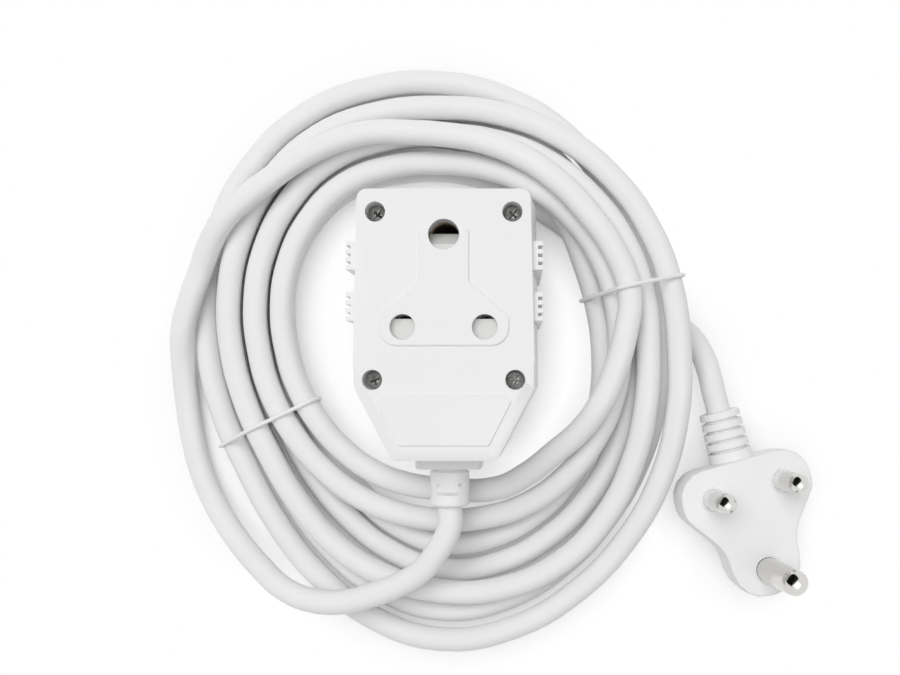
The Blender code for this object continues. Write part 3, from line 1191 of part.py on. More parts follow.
CORE_FINISHES = {"live": BROWN, "neutral": BLUE, "earth": GREEN}
for name, (x, y, radius, length) in PLUG_PINS.items():
    tip = PLUG_THICKNESS + length
    sleeved = name != "earth"
    slim = radius - PIN_SLEEVE_WALL - GAP / 3
    sleeve_top = PLUG_THICKNESS + PIN_SLEEVE_LENGTH
    profile = [(0, tip), (radius * 0.5, tip - radius * 0.07), (radius * 0.78, tip - radius * 0.26)]
    profile += [(radius * 0.95, tip - radius * 0.6), (radius, tip - radius * 1.0)]
    if sleeved:
        profile += [(radius, sleeve_top), (slim, sleeve_top), (slim, PLUG_THICKNESS - 1.5 * MM)]
        profile += [(radius, PLUG_THICKNESS - 1.5 * MM)]
    foot = BRIDGE_BOTTOM - GAP
    profile += [(radius, foot), (radius + PLUG_PIN_FLANGE, foot), (radius + PLUG_PIN_FLANGE, foot - 1.2 * MM)]
    profile += [(radius, foot - 1.2 * MM), (radius, PIN_FOOT), (0, PIN_FOOT)]
    pin = placed(turned(profile, 18), Matrix.Translation((x, y, 0)))
    piece(f"{name}_pin", NICKEL, pin, parent=plug_frame)
    if sleeved:
        outer = [(radius, sleeve_top - GAP / 3), (radius, PLUG_THICKNESS - 1.5 * MM + GAP / 3)]
        inner = [(slim + GAP / 3, z) for _, z in reversed(outer)]
        piece(
            f"{name}_pin_sleeve",
            INSERT,
            placed(turned(outer + inner + outer[:1], 18), Matrix.Translation((x, y, 0))),
            parent=plug_frame,
        )
    tube(f"plug_{name}_core", CORE_FINISHES[name], core_routes[name], CORE_RADIUS, parent=plug_frame)

sheath_stops = (SHEATH_IN_PLUG_Y + GAP, PLUG_BOOT_END - 6 * MM, PLUG_BOOT_END)
sheath_run = [Vector((0, y, PLUG_AXIS)) for y in sheath_stops]
tube("cord_end_in_plug", SHEATH, sheath_run, CORD_RADIUS, parent=plug_frame)

# ================================================================ coil


def around(radii, angle):
    """The radius at an angle, on a smooth closed curve through radii evenly spaced from 90 degrees round."""
    place = (angle / (2 * math.pi) - 0.25) * len(radii)
    index = math.floor(place)
    t = place - index
    a, b, c, d = (radii[(index + step) % len(radii)] for step in (-1, 0, 1, 2))
    return (2 * b + (c - a) * t + (2 * a - 5 * b + 4 * c - d) * t * t + (3 * b - a - 3 * c + d) * t**3) / 2


def eased(share):
    share = min(max(share, 0), 1)
    return share * share * (3 - 2 * share)


def apart(first, second):
    return abs((first - second + math.pi) % (2 * math.pi) - math.pi)


def hump(angle, centre, half_width):
    """One at the centre, falling smoothly to nothing at half the width to each side."""
    return (1 + math.cos(math.pi * min(apart(angle, centre) / half_width, 1))) / 2


def lift(angle):
    """How far the bundle is off the ground: it rides over the plug's stretch, and rises a little at a tie."""
    share = eased(1 - (apart(angle, CROSSING_ANGLE) - CROSSING_HALF_ANGLE) / CROSSING_RAMP)
    raised_by = share * (LAYER_RISE + TIE_ROOM)
    for (x, y), _ in TIES.values():
        place = math.atan2(y - COIL_CENTRE[1], x - COIL_CENTRE[0])
        raised_by = max(raised_by, TIE_ROOM * hump(angle, place, TIE_LIFT_HALF_ANGLE))
    return raised_by


def coil_point(turn):
    """Where the cord is after so many turns: out along the lower layer, up, and in along the upper one."""
    angle = COIL_START + 2 * math.pi * turn
    loops = angle / (2 * math.pi) - 0.25
    slack, centre, half_width = LOWER_SLACK
    lower = around(LOWER_INSIDE, angle) + STRAND_PITCH * loops
    lower += slack * hump(angle, centre, half_width) * eased(loops - LOWER_SLACK_FROM)
    lower -= COIL_ENTRY * (1 - eased(loops / ENTRY_LENGTH))
    slack, centre, half_width = UPPER_SLACK
    upper = around(UPPER_INSIDE, angle) + STRAND_PITCH * (LAST_LOOP - loops)
    upper += slack * hump(angle, centre, half_width) * (loops < UPPER_SLACK_TO)
    upper -= COIL_EXIT * eased((loops - EXIT_START) / EXIT_LENGTH)
    radius = lower + (upper - lower) * eased((loops - CROSS_OVER_START) / CROSS_OVER_LENGTH)
    layer = eased((loops - CLIMB_START) / CLIMB_LENGTH)
    height = CORD_RADIUS + 0.05 * MM + LAYER_RISE * layer + lift(angle)
    x, y = COIL_CENTRE
    return Vector((x + radius * math.cos(angle), y + radius * math.sin(angle), height))


steps = math.ceil(COIL_TURNS * LOOP_POINTS)
coil = [coil_point(min(step / LOOP_POINTS, COIL_TURNS)) for step in range(steps + 1)]
start_way = (coil[0] - coil_point(0.02)).normalized()
end_way = (coil[-1] - coil_point(COIL_TURNS - 0.02)).normalized()
coil = [coil[0] + start_way * 2 * CORD_RADIUS] + coil + [coil[-1] + end_way * 2 * CORD_RADIUS]
tube("cord_coil", SHEATH, coil, CORD_RADIUS, 1)

# ================================================================ free stretches

coupler_exit = Vector((0, BOOT_END - GAP, CORD_AXIS))
to_coupler = smooth(
    [coil[-1] + end_way * GAP, coil[-1] + end_way * 5 * MM]
    + ROUTE_TO_COUPLER
    + [coupler_exit - Vector((0, 7 * MM, 0.2 * MM)), coupler_exit],
    STEP,
    straight_ends=True,
)
plug_exit = plug_matrix @ Vector((0, PLUG_BOOT_END + GAP, PLUG_AXIS))
plug_way = (plug_matrix.to_3x3() @ Vector((0, 1, 0))).normalized()
to_plug = smooth(
    [coil[0] + start_way * GAP, coil[0] + start_way * 4 * MM]
    + ROUTE_TO_PLUG
    + [plug_exit + plug_way * 7 * MM, plug_exit],
    STEP * 0.6,
    straight_ends=True,
)
tube("cord_to_coupler", SHEATH, to_coupler, CORD_RADIUS)
tube("cord_to_plug", SHEATH, to_plug, CORD_RADIUS)


# ================================================================ ties


def crossings(points, place, way):
    """Where a polyline passes through a tie's upright plane near the tie: (distance along the tie, height).

    A strand that crosses at a slant is wider in that plane, so it counts as two, a little apart.
    """
    along = Vector((math.cos(way), math.sin(way), 0))
    across = Vector((-along.y, along.x, 0))
    centre = Vector((*place, 0))
    found = []
    for here, ahead in zip(points, points[1:]):
        a, b = (here - centre).dot(across), (ahead - centre).dot(across)
        if a * b < 0:
            point = here.lerp(ahead, a / (a - b)) - centre
            if abs(point.dot(along)) < TIE_REACH:
                slant = abs((ahead - here).normalized().dot(across))
                wider = CORD_RADIUS * (1 / slant - 1)
                found += [(point.dot(along) - wider, point.z), (point.dot(along) + wider, point.z)]
    return found


def taut_loop(centres, radius):
    """A loop pulled tight round circles of one radius: the hull of their centres, moved out."""
    points = sorted(centres)
    hull = []
    for run in (points, points[::-1]):
        chain = []
        for point in run:
            while len(chain) > 1:
                (ax, ay), (bx, by) = chain[-2:]
                if (bx - ax) * (point[1] - ay) - (by - ay) * (point[0] - ax) > 0:
                    break
                chain.pop()
            chain.append(point)
        hull += chain[:-1]
    loop = []
    for index, (x, y) in enumerate(hull):
        before, after = hull[index - 1], hull[(index + 1) % len(hull)]
        first = math.atan2(y - before[1], x - before[0]) - math.pi / 2
        last = math.atan2(after[1] - y, after[0] - x) - math.pi / 2
        turn = (last - first) % (2 * math.pi)
        parts = max(1, round(turn / math.radians(24)))
        for part in range(parts + 1):
            angle = first + turn * part / parts
            loop.append((x + radius * math.cos(angle), y + radius * math.sin(angle)))
    return loop


for name, (place, way) in TIES.items():
    held = [hit for run in (coil, to_coupler, to_plug) for hit in crossings(run, place, way)]
    loop = taut_loop(held, CORD_RADIUS + TIE_RADIUS + GAP)
    lowest = TIE_RADIUS + 0.02 * MM
    ring = [
        Vector((place[0] + along * math.cos(way), place[1] + along * math.sin(way), max(height, lowest)))
        for along, height in loop
    ]
    tube(name, TIE, ring, TIE_RADIUS, 1, closed=True)


# ================================================================ what the cord measures


def least_gap(points, others=None):
    """Least distance between the surface of the tube and itself, or another tube, on points along both."""
    fine = []
    for here, ahead in zip(points, points[1:]):
        fine += [here.lerp(ahead, part / 4) for part in range(4)]
    first = np.array(fine)
    if others is not None:
        second = np.array([a.lerp(b, part / 4) for a, b in zip(others, others[1:]) for part in range(4)])
        return float(np.linalg.norm(first[:, None] - second[None], axis=2).min()) - 2 * CORD_RADIUS
    run = np.concatenate([[0], np.cumsum(np.linalg.norm(np.diff(first, axis=0), axis=1))])
    apart = np.linalg.norm(first[:, None] - first[None], axis=2)
    apart[np.abs(run[:, None] - run[None]) < 8 * CORD_RADIUS] = 1.0
    return float(apart.min()) - 2 * CORD_RADIUS


inside = (sheath_stop - sheath_start).length + (sheath_run[-1] - sheath_run[0]).length
total = length_of(coil) + length_of(to_coupler) + length_of(to_plug)
print(f"cord: {total:.3f} m showing and {inside:.3f} m in the boots; coil {length_of(coil):.3f} m")
print(f"least gap of the coil to itself {least_gap(coil) / MM:.2f} mm")
print(f"least gap of the coupler's stretch to the coil {least_gap(to_coupler[1:], coil[:-1]) / MM:.2f} mm")
print(f"least gap of the plug's stretch to the coil {least_gap(to_plug[1:], coil[1:]) / MM:.2f} mm")
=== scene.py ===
"""Extension lead seen from above: a double-sided three-pin coupler in its coil of cord, and a plug.

Metres, in the frame's own axes: +Z up, the coupler face up in the middle, its cord leaving
towards -Y.
"""

import math

import bmesh
import bpy
from mathutils import Matrix, Vector
from mathutils.geometry import interpolate_bezier


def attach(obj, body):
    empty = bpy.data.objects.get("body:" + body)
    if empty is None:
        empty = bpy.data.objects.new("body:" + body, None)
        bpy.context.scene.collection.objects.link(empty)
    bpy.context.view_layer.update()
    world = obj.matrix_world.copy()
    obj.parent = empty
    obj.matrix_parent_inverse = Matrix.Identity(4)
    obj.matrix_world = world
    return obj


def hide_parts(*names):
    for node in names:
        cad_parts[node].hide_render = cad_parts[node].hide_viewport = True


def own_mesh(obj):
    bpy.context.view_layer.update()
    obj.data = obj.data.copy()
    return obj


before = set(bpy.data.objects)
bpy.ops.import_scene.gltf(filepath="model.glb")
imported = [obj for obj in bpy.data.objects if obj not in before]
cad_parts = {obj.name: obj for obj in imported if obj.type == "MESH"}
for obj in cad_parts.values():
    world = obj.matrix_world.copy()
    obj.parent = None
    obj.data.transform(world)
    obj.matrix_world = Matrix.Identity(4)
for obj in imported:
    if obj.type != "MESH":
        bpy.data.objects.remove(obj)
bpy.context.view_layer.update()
MM = 0.001

# ================================================================ the camera
# It looks straight down, from over a point to the right of the coupler and below its middle. The
# picture's middle is shifted away from that point, as in the photograph.

PICTURE_WIDTH, PICTURE_HEIGHT = 900, 675
POINT_BELOW_X, POINT_BELOW_Y = 515, 381
FOCAL_PIXELS = 998
SENSOR_WIDTH = 36.0
CAMERA_PLACE = (0.0220, -0.01725, 0.367)
NEAREST_SEEN = 10.0 * MM


def placed(name, data):
    """A new object in the scene, at the origin, for a mesh, curve, lamp or camera."""
    made = bpy.data.objects.new(name, data)
    bpy.context.scene.collection.objects.link(made)
    return made


camera_data = bpy.data.cameras.new("camera")
camera_data.sensor_width = SENSOR_WIDTH
camera_data.lens = SENSOR_WIDTH * FOCAL_PIXELS / PICTURE_WIDTH
camera_data.shift_x = (PICTURE_WIDTH / 2 - POINT_BELOW_X) / PICTURE_WIDTH
camera_data.shift_y = (POINT_BELOW_Y - PICTURE_HEIGHT / 2) / PICTURE_WIDTH
camera_data.clip_start = NEAREST_SEEN
camera = placed("camera", camera_data)
camera.location = CAMERA_PLACE
bpy.context.scene.camera = camera
bpy.context.scene.view_settings.view_transform = "Standard"

# ================================================================ the table and the white round it
# A matt white table, and white all round it. Rays that find them as a background see pure white, and
# the table keeps its shadow where the lead stands close over it.

TABLE_SIZE = 8.0
TABLE_COLOUR = (0.90, 0.90, 0.90)
MATT = 0.9
WHITE = (1.0, 1.0, 1.0, 1.0)
SHADOW_REACH = 14.0 * MM
SHADOW_SAMPLES = 8
SKY_STRENGTH = 0.47
BACKGROUND_STRENGTH = 1.0


def shade(name, colour, roughness):
    """A new material, its shader and its node tree."""
    made = bpy.data.materials.new(name)
    made.use_nodes = True
    shader = made.node_tree.nodes["Principled BSDF"]
    shader.inputs["Base Color"].default_value = (*colour, 1.0)
    shader.inputs["Roughness"].default_value = roughness
    made.diffuse_color = (*colour, 1.0)
    return made, shader, made.node_tree


def maths(tree, operation, *values):
    """The result of a Math node on other nodes' outputs."""
    node = tree.nodes.new("ShaderNodeMath")
    node.operation = operation
    for value, socket in zip(values, node.inputs):
        tree.links.new(value, socket)
    return node.outputs[0]


def background_rays(tree):
    """One for the rays that see a background: camera, glossy and transmission rays."""
    rays = tree.nodes.new("ShaderNodeLightPath")
    seen = maths(tree, "MAXIMUM", rays.outputs["Is Camera Ray"], rays.outputs["Is Glossy Ray"])
    return maths(tree, "MAXIMUM", seen, rays.outputs["Is Transmission Ray"])


def mixed(tree, share, first, second, output):
    """Sends the output the first shader, or the second by its share."""
    mix = tree.nodes.new("ShaderNodeMixShader")
    for value, socket in zip((share, first.outputs[0], second.outputs[0]), mix.inputs):
        tree.links.new(value, socket)
    tree.links.new(mix.outputs[0], tree.nodes[output].inputs["Surface"])


def meshed(name, shape):
    """A new object from a bmesh, which is freed."""
    mesh = bpy.data.meshes.new(name)
    shape.to_mesh(mesh)
    shape.free()
    return placed(name, mesh)


table_shape = bmesh.new()
bmesh.ops.create_grid(table_shape, x_segments=2, y_segments=2, size=TABLE_SIZE)
table = meshed("table", table_shape)
paper, paper_shader, paper_tree = shade("table_white", TABLE_COLOUR, MATT)
paper_shader.inputs["Specular IOR Level"].default_value = 0.0
glow = paper_tree.nodes.new("ShaderNodeEmission")
glow.inputs["Color"].default_value = WHITE
glow.inputs["Strength"].default_value = BACKGROUND_STRENGTH
openness = paper_tree.nodes.new("ShaderNodeAmbientOcclusion")
openness.inputs["Distance"].default_value = SHADOW_REACH
openness.samples = SHADOW_SAMPLES
open_share = maths(paper_tree, "MULTIPLY", background_rays(paper_tree), openness.outputs["AO"])
mixed(paper_tree, open_share, paper_shader, glow, "Material Output")
table.data.materials.append(paper)

world = bpy.data.worlds.new("studio")
bpy.context.scene.world = world
world.use_nodes = True
sky = world.node_tree.nodes["Background"]
white_round = world.node_tree.nodes.new("ShaderNodeBackground")
for background, strength in ((sky, SKY_STRENGTH), (white_round, BACKGROUND_STRENGTH)):
    background.inputs["Color"].default_value = WHITE
    background.inputs["Strength"].default_value = strength
mixed(world.node_tree, background_rays(world.node_tree), sky, white_round, "World Output")

# ================================================================ the lamp and the cards
# One wide soft lamp stands up and to the left of the lead. A black card and a pale glowing one are
# found by reflections only, and give the pins their dark and bright patches.

LAMP_PLACE = Vector((-0.26, 0.36, 1.25))
LAMP_AIM = Vector((0.0, -0.01, 0.02))
LAMP_SIZE = 0.9
LAMP_WATTS = 10.2
PLUG_MIDDLE = Vector((0.105, -0.066, 0.04))
# Each card's place, half its width, its colour, and how strongly it glows.
CARDS = {
    "black_card": ((-0.34, 0.40, 0.58), 0.95, (0.01, 0.01, 0.01), 0.0),
    "white_card": ((0.33, -0.27, 0.80), 0.26, (0.8, 0.8, 0.8), 1.6),
}

lamp_data = bpy.data.lights.new("softbox", "AREA")
lamp_data.shape = "RECTANGLE"
lamp_data.size = lamp_data.size_y = LAMP_SIZE
lamp_data.energy = LAMP_WATTS
lamp = placed("softbox", lamp_data)
lamp.location = LAMP_PLACE
lamp.rotation_euler = (LAMP_AIM - LAMP_PLACE).to_track_quat("-Z", "Y").to_euler()
lamp.visible_glossy = False
for name, (place, half_width, colour, strength) in CARDS.items():
    card_shape = bmesh.new()
    bmesh.ops.create_grid(card_shape, x_segments=1, y_segments=1, size=half_width)
    facing = (PLUG_MIDDLE - Vector(place)).to_track_quat("Z", "Y").to_matrix().to_4x4()
    card_place = Matrix.Translation(place) @ facing
    bmesh.ops.transform(card_shape, matrix=card_place, verts=card_shape.verts)
    card = meshed(name, card_shape)
    board, board_shader, _ = shade(name, colour, MATT)
    board_shader.inputs["Specular IOR Level"].default_value = 0.0
    board_shader.inputs["Emission Color"].default_value = WHITE
    board_shader.inputs["Emission Strength"].default_value = strength
    card.data.materials.append(board)
    card.visible_camera = False
    card.visible_diffuse = False
    card.visible_shadow = False
    card.visible_transmission = False

# ================================================================ the cord
# Three-core flexible cord in one unbroken white PVC sheath, extruded round the cores. It goes from
# the coupler once round on top of the bundle, inwards on the upper layer, outwards on the lower one,
# and beneath the bundle to the plug.

CORD_RADIUS = 4.2 * MM
GAP = 0.3 * MM
OFF_TABLE = 0.2 * MM
COUPLER_EXIT = Vector((0.0, -59.25, 30.0)) * MM
SHEATH_END_Y = -30.85 * MM
COUPLER_EXIT_STEP = Vector((0, -7, -0.2)) * MM
COIL_CENTRE = (-4.3 * MM, -6.8 * MM)
COIL_START = math.radians(105.0)
LOOP_POINTS = 24
COIL_TURNS = 6.5 - 1 / LOOP_POINTS
LAST_LOOP = 6
CLIMB_START, CLIMB_LENGTH = 3.25, 0.5
CROSS_OVER_START, CROSS_OVER_LENGTH = 3.5, 0.35
LAYER_RISE = 2 * CORD_RADIUS + 0.8 * MM
STRAND_PITCH = 2 * CORD_RADIUS + 1.3 * MM
# The radii of each layer's innermost loop, every 30 degrees round from 90.
LOWER_INSIDE = [
    mm * MM for mm in (68.0, 69.6, 62.5, 53.4, 49.4, 55.2, 64.2, 61.9, 54.9, 50.0, 51.0, 60.0)
]
UPPER_INSIDE = [
    mm * MM for mm in (66.3, 69.0, 63.9, 56.8, 52.9, 53.3, 54.6, 58.0, 59.0, 59.9, 62.6, 64.5)
]
COIL_ENTRY, ENTRY_LENGTH = 3.2 * MM, 0.2
COIL_EXIT, EXIT_START, EXIT_LENGTH = 1.4 * MM, 6.3, 0.25
# Where strands lie slack: how much further out, round which angle, and how far to each side of it.
LOWER_SLACK = (5.0 * MM, math.radians(264.0), math.radians(58.0))
UPPER_SLACK = (16.2 * MM, math.radians(280.0), math.radians(84.0))
LOWER_SLACK_FROM = 1.5
UPPER_SLACK_TO = 5
CROSSING_ANGLE = math.radians(22.5)
CROSSING_HALF_ANGLE = math.radians(27.5)
CROSSING_RAMP = math.radians(55.0)
TIE_RADIUS = 0.7 * MM
TIE_CLEARANCE = 0.1 * MM
TIE_ROOM = 2 * TIE_RADIUS + GAP + TIE_CLEARANCE
TIE_LIFT_HALF_ANGLE = math.radians(35)
# Each tie's place, and the way in which it crosses the strands.
TIES = {
    "tie_right": ((64.1 * MM, 15.4 * MM), math.radians(13.3)),
    "tie_left": ((-63.5 * MM, -31.0 * MM), math.radians(205.4)),
}
ROUTE_TO_COUPLER = [
    Vector(point) * MM
    for point in (
        (15.6, -55.0, 15.2),
        (25.5, -50.1, 18.3),
        (35.9, -41.7, 22.3),
        (44.0, -34.4, 26.7),
        (50.4, -25.2, 31.9),
        (54.8, -15.6, 33.2),
        (58.8, -1.9, 33.9),
        (60.4, 12.3, 32.7),
        (55.5, 26.0, 32.5),
        (46.9, 38.4, 33.0),
        (35.8, 50.3, 32.1),
        (25.1, 58.0, 30.9),
        (11.0, 64.1, 28.6),
        (-3.8, 67.2, 25.7),
        (-14.6, 68.3, 23.8),
        (-25.8, 68.8, 22.6),
        (-36.4, 66.9, 22.2),
        (-45.6, 63.4, 22.2),
        (-54.2, 58.6, 22.2),
        (-61.7, 53.1, 22.4),
        (-71.2, 45.8, 22.5),
        (-79.4, 38.1, 21.2),
        (-85.0, 30.1, 17.9),
        (-88.9, 21.9, 14.6),
        (-92.5, 12.6, 13.9),
        (-96.1, 1.2, 12.0),
        (-97.6, -11.5, 6.9),
        (-96.9, -24.8, 4.6),
        (-95.1, -36.9, 4.5),
        (-92.1, -49.0, 4.5),
        (-86.9, -60.3, 6.0),
        (-78.5, -72.0, 10.0),
        (-67.5, -82.8, 15.5),
        (-58.1, -89.7, 19.6),
        (-48.5, -93.0, 22.0),
        (-37.3, -93.4, 23.0),
        (-27.1, -90.8, 24.0),
        (-17.7, -86.9, 25.5),
        (-10.0, -82.0, 27.0),
        (-4.8, -75.6, 28.5),
    )
]
ROUTE_TO_PLUG = [
    Vector(point) * MM
    for point in (
        (9.0, 57.1, 4.5),
        (21.2, 51.0, 4.6),
        (32.5, 44.3, 4.6),
        (42.5, 37.0, 5.2),
        (53.5, 26.7, 6.0),
        (65.8, 14.7, 6.2),
        (77.3, 4.8, 6.4),
        (85.0, -0.9, 6.8),
        (89.2, -7.4, 8.0),
        (91.4, -14.2, 9.6),
    )
]
PLUG_THICKNESS = 20.0 * MM
PLUG_TOP = 10.6 * MM
PLUG_BOOT_LENGTH = 17.4 * MM
PLUG_SHEATH_END = 1.8 * MM
PLUG_EXIT_STEP = 7 * MM
PLUG_PLACE = (
    Matrix.Translation((100.8 * MM, -55.4 * MM, 1.72 * MM))
    @ Matrix.Rotation(math.radians(14.8), 4, "Z")
    @ Matrix.Rotation(math.radians(5.0), 4, "Y")
)
CORD_STEPS, CORD_ROUNDNESS = 5, 6
LINE_POINTS = 7


def around(radii, angle):
    """The radius at an angle, on a smooth closed curve through radii spaced evenly from 90 degrees."""
    place = (angle / (2 * math.pi) - 0.25) * len(radii)
    index = math.floor(place)
    t = place - index
    a, b, c, d = (radii[(index + step) % len(radii)] for step in (-1, 0, 1, 2))
    bend = (2 * a - 5 * b + 4 * c - d) * t * t + (3 * b - a - 3 * c + d) * t**3
    return (2 * b + (c - a) * t + bend) / 2


def eased(share):
    """A share held between 0 and 1, leaving both ends smoothly."""
    share = min(max(share, 0), 1)
    return share * share * (3 - 2 * share)


def apart(first, second):
    """How far one angle is from another, the shorter way round."""
    return abs((first - second + math.pi) % (2 * math.pi) - math.pi)


def hump(angle, centre, half_width):
    """One at the centre, falling smoothly to nothing at the half width on each side."""
    return (1 + math.cos(math.pi * min(apart(angle, centre) / half_width, 1))) / 2


def lift(angle):
    """How far the bundle is raised: it rides over the plug's stretch, and a little over each tie."""
    share = eased(1 - (apart(angle, CROSSING_ANGLE) - CROSSING_HALF_ANGLE) / CROSSING_RAMP)
    raised_by = share * (LAYER_RISE + TIE_ROOM)
    for (x, y), _ in TIES.values():
        place = math.atan2(y - COIL_CENTRE[1], x - COIL_CENTRE[0])
        raised_by = max(raised_by, TIE_ROOM * hump(angle, place, TIE_LIFT_HALF_ANGLE))
    return raised_by


def coil_point(turn):
    """Where the cord is after so many turns: out along the lower layer, up, and in on the upper."""
    angle = COIL_START + 2 * math.pi * turn
    loops = angle / (2 * math.pi) - 0.25
    slack, centre, half_width = LOWER_SLACK
    lower = around(LOWER_INSIDE, angle) + STRAND_PITCH * loops
    lower += slack * hump(angle, centre, half_width) * eased(loops - LOWER_SLACK_FROM)
    lower -= COIL_ENTRY * (1 - eased(loops / ENTRY_LENGTH))
    slack, centre, half_width = UPPER_SLACK
    upper = around(UPPER_INSIDE, angle) + STRAND_PITCH * (LAST_LOOP - loops)
    upper += slack * hump(angle, centre, half_width) * (loops < UPPER_SLACK_TO)
    upper -= COIL_EXIT * eased((loops - EXIT_START) / EXIT_LENGTH)
    radius = lower + (upper - lower) * eased((loops - CROSS_OVER_START) / CROSS_OVER_LENGTH)
    layer = eased((loops - CLIMB_START) / CLIMB_LENGTH)
    height = CORD_RADIUS + OFF_TABLE + LAYER_RISE * layer + lift(angle)
    x, y = COIL_CENTRE
    return Vector((x + radius * math.cos(angle), y + radius * math.sin(angle), height))


def along_curve(name, points, radius, steps, roundness):
    """A round tube, closed at its ends, on a smooth open curve through the points."""
    curve = bpy.data.curves.new(name, "CURVE")
    curve.dimensions = "3D"
    curve.bevel_depth = radius
    curve.bevel_resolution = roundness
    curve.resolution_u = steps
    curve.render_resolution_u = steps
    curve.use_fill_caps = True
    spline = curve.splines.new("BEZIER")
    spline.bezier_points.add(len(points) - 1)
    for target, point in zip(spline.bezier_points, points):
        target.co = point
        target.handle_left_type = "AUTO"
        target.handle_right_type = "AUTO"
    return placed(name, curve)


coil_steps = range(round(COIL_TURNS * LOOP_POINTS) + 1)
coil_points = [coil_point(min(step / LOOP_POINTS, COIL_TURNS)) for step in coil_steps]
plug_exit = PLUG_PLACE @ Vector((0, PLUG_TOP + PLUG_BOOT_LENGTH, PLUG_THICKNESS / 2))
plug_way = (PLUG_PLACE.to_3x3() @ Vector((0, 1, 0))).normalized()
cord_points = [
    Vector((0, SHEATH_END_Y, COUPLER_EXIT.z)),
    Vector((0, (SHEATH_END_Y + COUPLER_EXIT.y) / 2, COUPLER_EXIT.z)),
    COUPLER_EXIT,
    COUPLER_EXIT + COUPLER_EXIT_STEP,
    *reversed(ROUTE_TO_COUPLER),
    *reversed(coil_points),
    *ROUTE_TO_PLUG,
    plug_exit + plug_way * PLUG_EXIT_STEP,
    plug_exit,
    plug_exit - plug_way * PLUG_EXIT_STEP,
    plug_exit - plug_way * (PLUG_BOOT_LENGTH - PLUG_SHEATH_END),
]
cord = along_curve("lead_cord", cord_points, CORD_RADIUS, CORD_STEPS, CORD_ROUNDNESS)
bpy.context.view_layer.update()
bends = cord.data.splines[0].bezier_points
cord_line = []
for here, ahead in zip(bends, bends[1:]):
    stretch = (here.co, here.handle_right, ahead.handle_left, ahead.co)
    cord_line += interpolate_bezier(*stretch, LINE_POINTS)[:-1]
cord_line.append(bends[-1].co)

# The moulded surface that all the plastics share, and the metals too: a fine grain, faint clouding
# and a little spread in roughness. Each material places this one effect with its own values.
MIX_SHARE, MIX_FIRST, MIX_SECOND, MIX_RESULT = 0, 6, 7, 2
CLOUD_DETAIL, GRAIN_DETAIL = 4.0, 2.0
CLOUD_LOW, CLOUD_HIGH = 0.3, 0.7
CLOUD_COLOUR = (0.35, 0.35, 0.33, 1.0)
GRAIN_STRENGTH = 0.35

surface = bpy.data.node_groups.new("moulded_surface", "ShaderNodeTree")
for word, kind in (
    ("Colour", "NodeSocketColor"),
    ("Clouding", "NodeSocketFloat"),
    ("Cloud Scale", "NodeSocketFloat"),
    ("Grain Scale", "NodeSocketFloat"),
    ("Smoothest", "NodeSocketFloat"),
    ("Spread", "NodeSocketFloat"),
):
    surface.interface.new_socket(name=word, in_out="INPUT", socket_type=kind)
for word, kind in (
    ("Colour", "NodeSocketColor"),
    ("Roughness", "NodeSocketFloat"),
    ("Height", "NodeSocketFloat"),
):
    surface.interface.new_socket(name=word, in_out="OUTPUT", socket_type=kind)
given = surface.nodes.new("NodeGroupInput")
result = surface.nodes.new("NodeGroupOutput")
where = surface.nodes.new("ShaderNodeTexCoord")
cloud = surface.nodes.new("ShaderNodeTexNoise")
grain = surface.nodes.new("ShaderNodeTexNoise")
for texture, word, detail in (
    (cloud, "Cloud Scale", CLOUD_DETAIL),
    (grain, "Grain Scale", GRAIN_DETAIL),
):
    texture.inputs["Detail"].default_value = detail
    surface.links.new(where.outputs["Object"], texture.inputs["Vector"])
    surface.links.new(given.outputs[word], texture.inputs["Scale"])
clearer = surface.nodes.new("ShaderNodeMapRange")
clearer.inputs["From Min"].default_value = CLOUD_LOW
clearer.inputs["From Max"].default_value = CLOUD_HIGH
surface.links.new(cloud.outputs["Fac"], clearer.inputs["Value"])
clouded = surface.nodes.new("ShaderNodeMix")
clouded.data_type = "RGBA"
clouded.inputs[MIX_SECOND].default_value = CLOUD_COLOUR
dimming = maths(surface, "MULTIPLY", clearer.outputs["Result"], given.outputs["Clouding"])
surface.links.new(dimming, clouded.inputs[MIX_SHARE])
surface.links.new(given.outputs["Colour"], clouded.inputs[MIX_FIRST])
surface.links.new(clouded.outputs[MIX_RESULT], result.inputs["Colour"])
cloud_roughness = maths(
    surface,
    "MULTIPLY_ADD",
    clearer.outputs["Result"],
    given.outputs["Spread"],
    given.outputs["Smoothest"],
)
surface.links.new(cloud_roughness, result.inputs["Roughness"])
surface.links.new(grain.outputs["Fac"], result.inputs["Height"])


def moulded(name, colour, clouding, cloud_scale, grain_scale, grain_depth, smoothest, spread):
    """A moulded or extruded plastic: the shared surface on this finish's own values."""
    made, shader, tree = shade(name, colour, smoothest)
    group = tree.nodes.new("ShaderNodeGroup")
    group.node_tree = surface
    group.inputs["Colour"].default_value = (*colour, 1.0)
    group.inputs["Clouding"].default_value = clouding
    group.inputs["Cloud Scale"].default_value = cloud_scale
    group.inputs["Grain Scale"].default_value = grain_scale
    group.inputs["Smoothest"].default_value = smoothest
    group.inputs["Spread"].default_value = spread
    bump = tree.nodes.new("ShaderNodeBump")
    bump.inputs["Strength"].default_value = GRAIN_STRENGTH
    bump.inputs["Distance"].default_value = grain_depth
    tree.links.new(group.outputs["Colour"], shader.inputs["Base Color"])
    tree.links.new(group.outputs["Roughness"], shader.inputs["Roughness"])
    tree.links.new(group.outputs["Height"], bump.inputs["Height"])
    tree.links.new(bump.outputs["Normal"], shader.inputs["Normal"])
    return made


